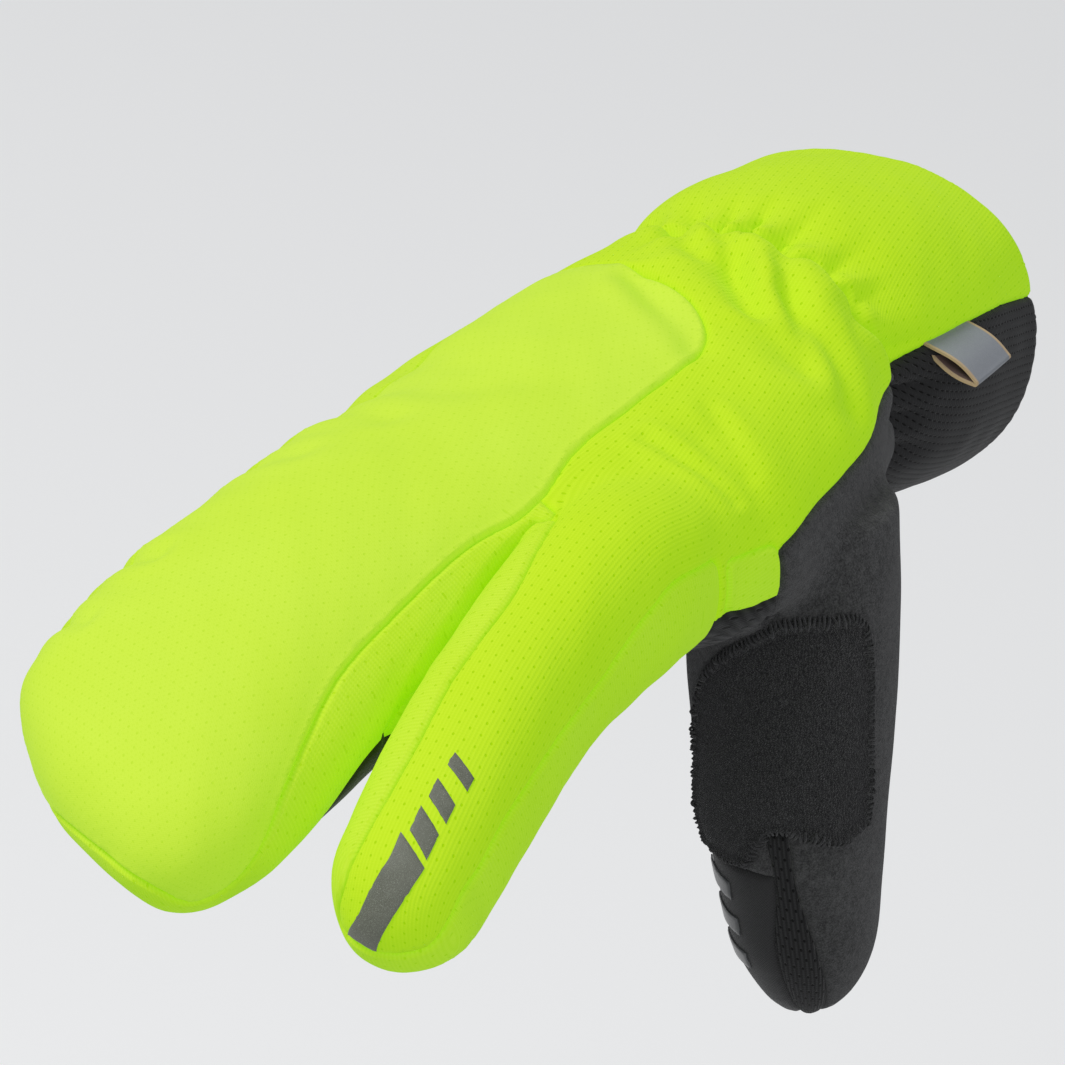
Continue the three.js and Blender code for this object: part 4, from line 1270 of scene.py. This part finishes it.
def label_loop():
    """The folded ribbon in the cuff's side seam, open at both edges."""
    places = np.array([LABEL_AT - 0.1, LABEL_AT, LABEL_AT + 0.1])
    ring = trunk_section(-places * CUFF_LENGTH)
    a = np.radians(spline(CUFF_UNDERSIDE, places)[:, 1:])
    seam = ring.middle + np.cos(a) * ring.half[:, None] * ring.right
    seam = seam + np.sin(a) * ring.back[:, None] * ring.up
    root = seam[1] - LABEL_SUNK * ring.up[1]
    out = unit(ring.right[1] - LABEL_DROOP * ring.up[1])
    across = unit(np.cross(seam[2] - seam[0], out))
    width_way = np.cross(out, across)
    fold_at = LABEL_LENGTH - LABEL_FOLD
    reach = np.linspace(-LABEL_TURN_IN, fold_at, 15)
    apart = LABEL_APART / 2 + LABEL_PUFF * np.sin(math.pi * np.linspace(0, 1, 15) ** 1.3)
    straight = np.stack([reach, apart], 1)
    turn = np.linspace(math.pi / 2, -math.pi / 2, 13)[1:-1]
    fold = np.stack([fold_at + LABEL_APART / 2 * np.cos(turn), LABEL_APART / 2 * np.sin(turn)], 1)
    line = np.concatenate([straight, fold, straight[::-1] * [1, -1]])
    run = np.concatenate([[0], np.cumsum(np.linalg.norm(np.diff(line, axis=0), axis=1))])
    slope = unit(np.gradient(line, axis=0))
    side = np.stack([slope[:, 1], -slope[:, 0]], 1)
    stations = np.linspace(-LABEL_WIDTH / 2, LABEL_WIDTH / 2, 13)
    uv = np.concatenate([np.stack([run, np.full_like(run, y)], 1) for y in stations])

    def face_of(offset):
        away, apart = (line + offset * side).T[:, :, None]
        bow = [LABEL_BOW * math.cos(math.pi * y / LABEL_WIDTH) / LABEL_LENGTH for y in stations]
        raised = [away * out + (apart + b * away) * across for b in bow]
        return np.concatenate([root + y * width_way + row for y, row in zip(stations, raised)])

    count = len(line)
    first = (np.arange(len(stations) - 1)[:, None] * count + np.arange(count - 1)).ravel()
    corners = [first, first + count, first + count + 1, first + 1]
    faces = np.concatenate([np.stack(corners[:3], 1), np.stack([corners[0], *corners[2:]], 1)])
    _, border = border_loops(faces)
    made = walled(face_of(-LABEL_THICK / 2), face_of(LABEL_THICK / 2), faces, border, uv)
    piece = mesh_piece("label_ribbon", *made, crease=40)
    brown = ribbon_finish("ribbon_back", (0.05, 0.02, 0.016), (0.17, 0.075, 0.055))
    dress(piece, "label_loop", "ribbon", brown)
    return piece


label_piece = label_loop()


def studio():
    """A pale floor far below, soft lights and the camera."""
    scene = bpy.context.scene
    floor_mesh = bpy.data.meshes.new("floor")
    corners = [(x * FLOOR_SIZE, y * FLOOR_SIZE, FLOOR_AT) for x, y in ((-1, -1), (1, -1), (1, 1), (-1, 1))]
    floor_mesh.from_pydata(corners, [], [(0, 1, 2, 3)])
    floor = placed("floor", floor_mesh)
    f = Finish("floor", Roughness=1.0, Specular_IOR_Level=0.0, Emission_Strength=0.16, Emission_Color=WHITE)
    f.give("Base Color", f.mix(f.noise(900, 1), (0.78, 0.78, 0.78), (0.80, 0.80, 0.80)))
    floor_mesh.materials.append(f.material)
    floor.visible_diffuse = False
    world = bpy.data.worlds.new("studio")
    world.use_nodes = True
    sky = world.node_tree.nodes["Background"].inputs
    sky[0].default_value = (0.95, 0.97, 1.0, 1.0)
    sky[1].default_value = 0.42
    scene.world = world
    scene.view_settings.view_transform = "Standard"
    for name, place, power, width in LIGHTS:
        light = bpy.data.lights.new(name, "AREA")
        light.shape = "DISK"
        light.size = width
        light.energy = power
        lamp = placed(name, light)
        lamp.location = place
        lamp.rotation_euler = (LOOK_AT - Vector(place)).to_track_quat("-Z", "Y").to_euler()
    back = Vector((math.sin(AZ) * math.cos(EL), -math.cos(AZ) * math.cos(EL), math.sin(EL)))
    data = bpy.data.cameras.new("camera")
    data.lens = 197.7
    data.sensor_width = 36
    data.clip_end = 40
    camera = placed("camera", data)
    camera.location = LOOK_AT + back * CAMERA_AWAY
    camera.rotation_euler = back.to_track_quat("Z", "Y").to_euler()
    scene.camera = camera


WHITE = (1.0, 1.0, 1.0, 1.0)
FLOOR_SIZE, FLOOR_AT = 6.0, -0.62
AZ, EL, CAMERA_AWAY = math.radians(33), math.radians(30), 1.3
LOOK_AT = Vector((-0.0233, -0.0989, -0.0172))
# name, place, power, width
LIGHTS = [("key", (-1.34, -1.1, 2.47), 55, 1.2), ("fill", (1.5, -1.6, 1.0), 12, 1.2)]
studio()
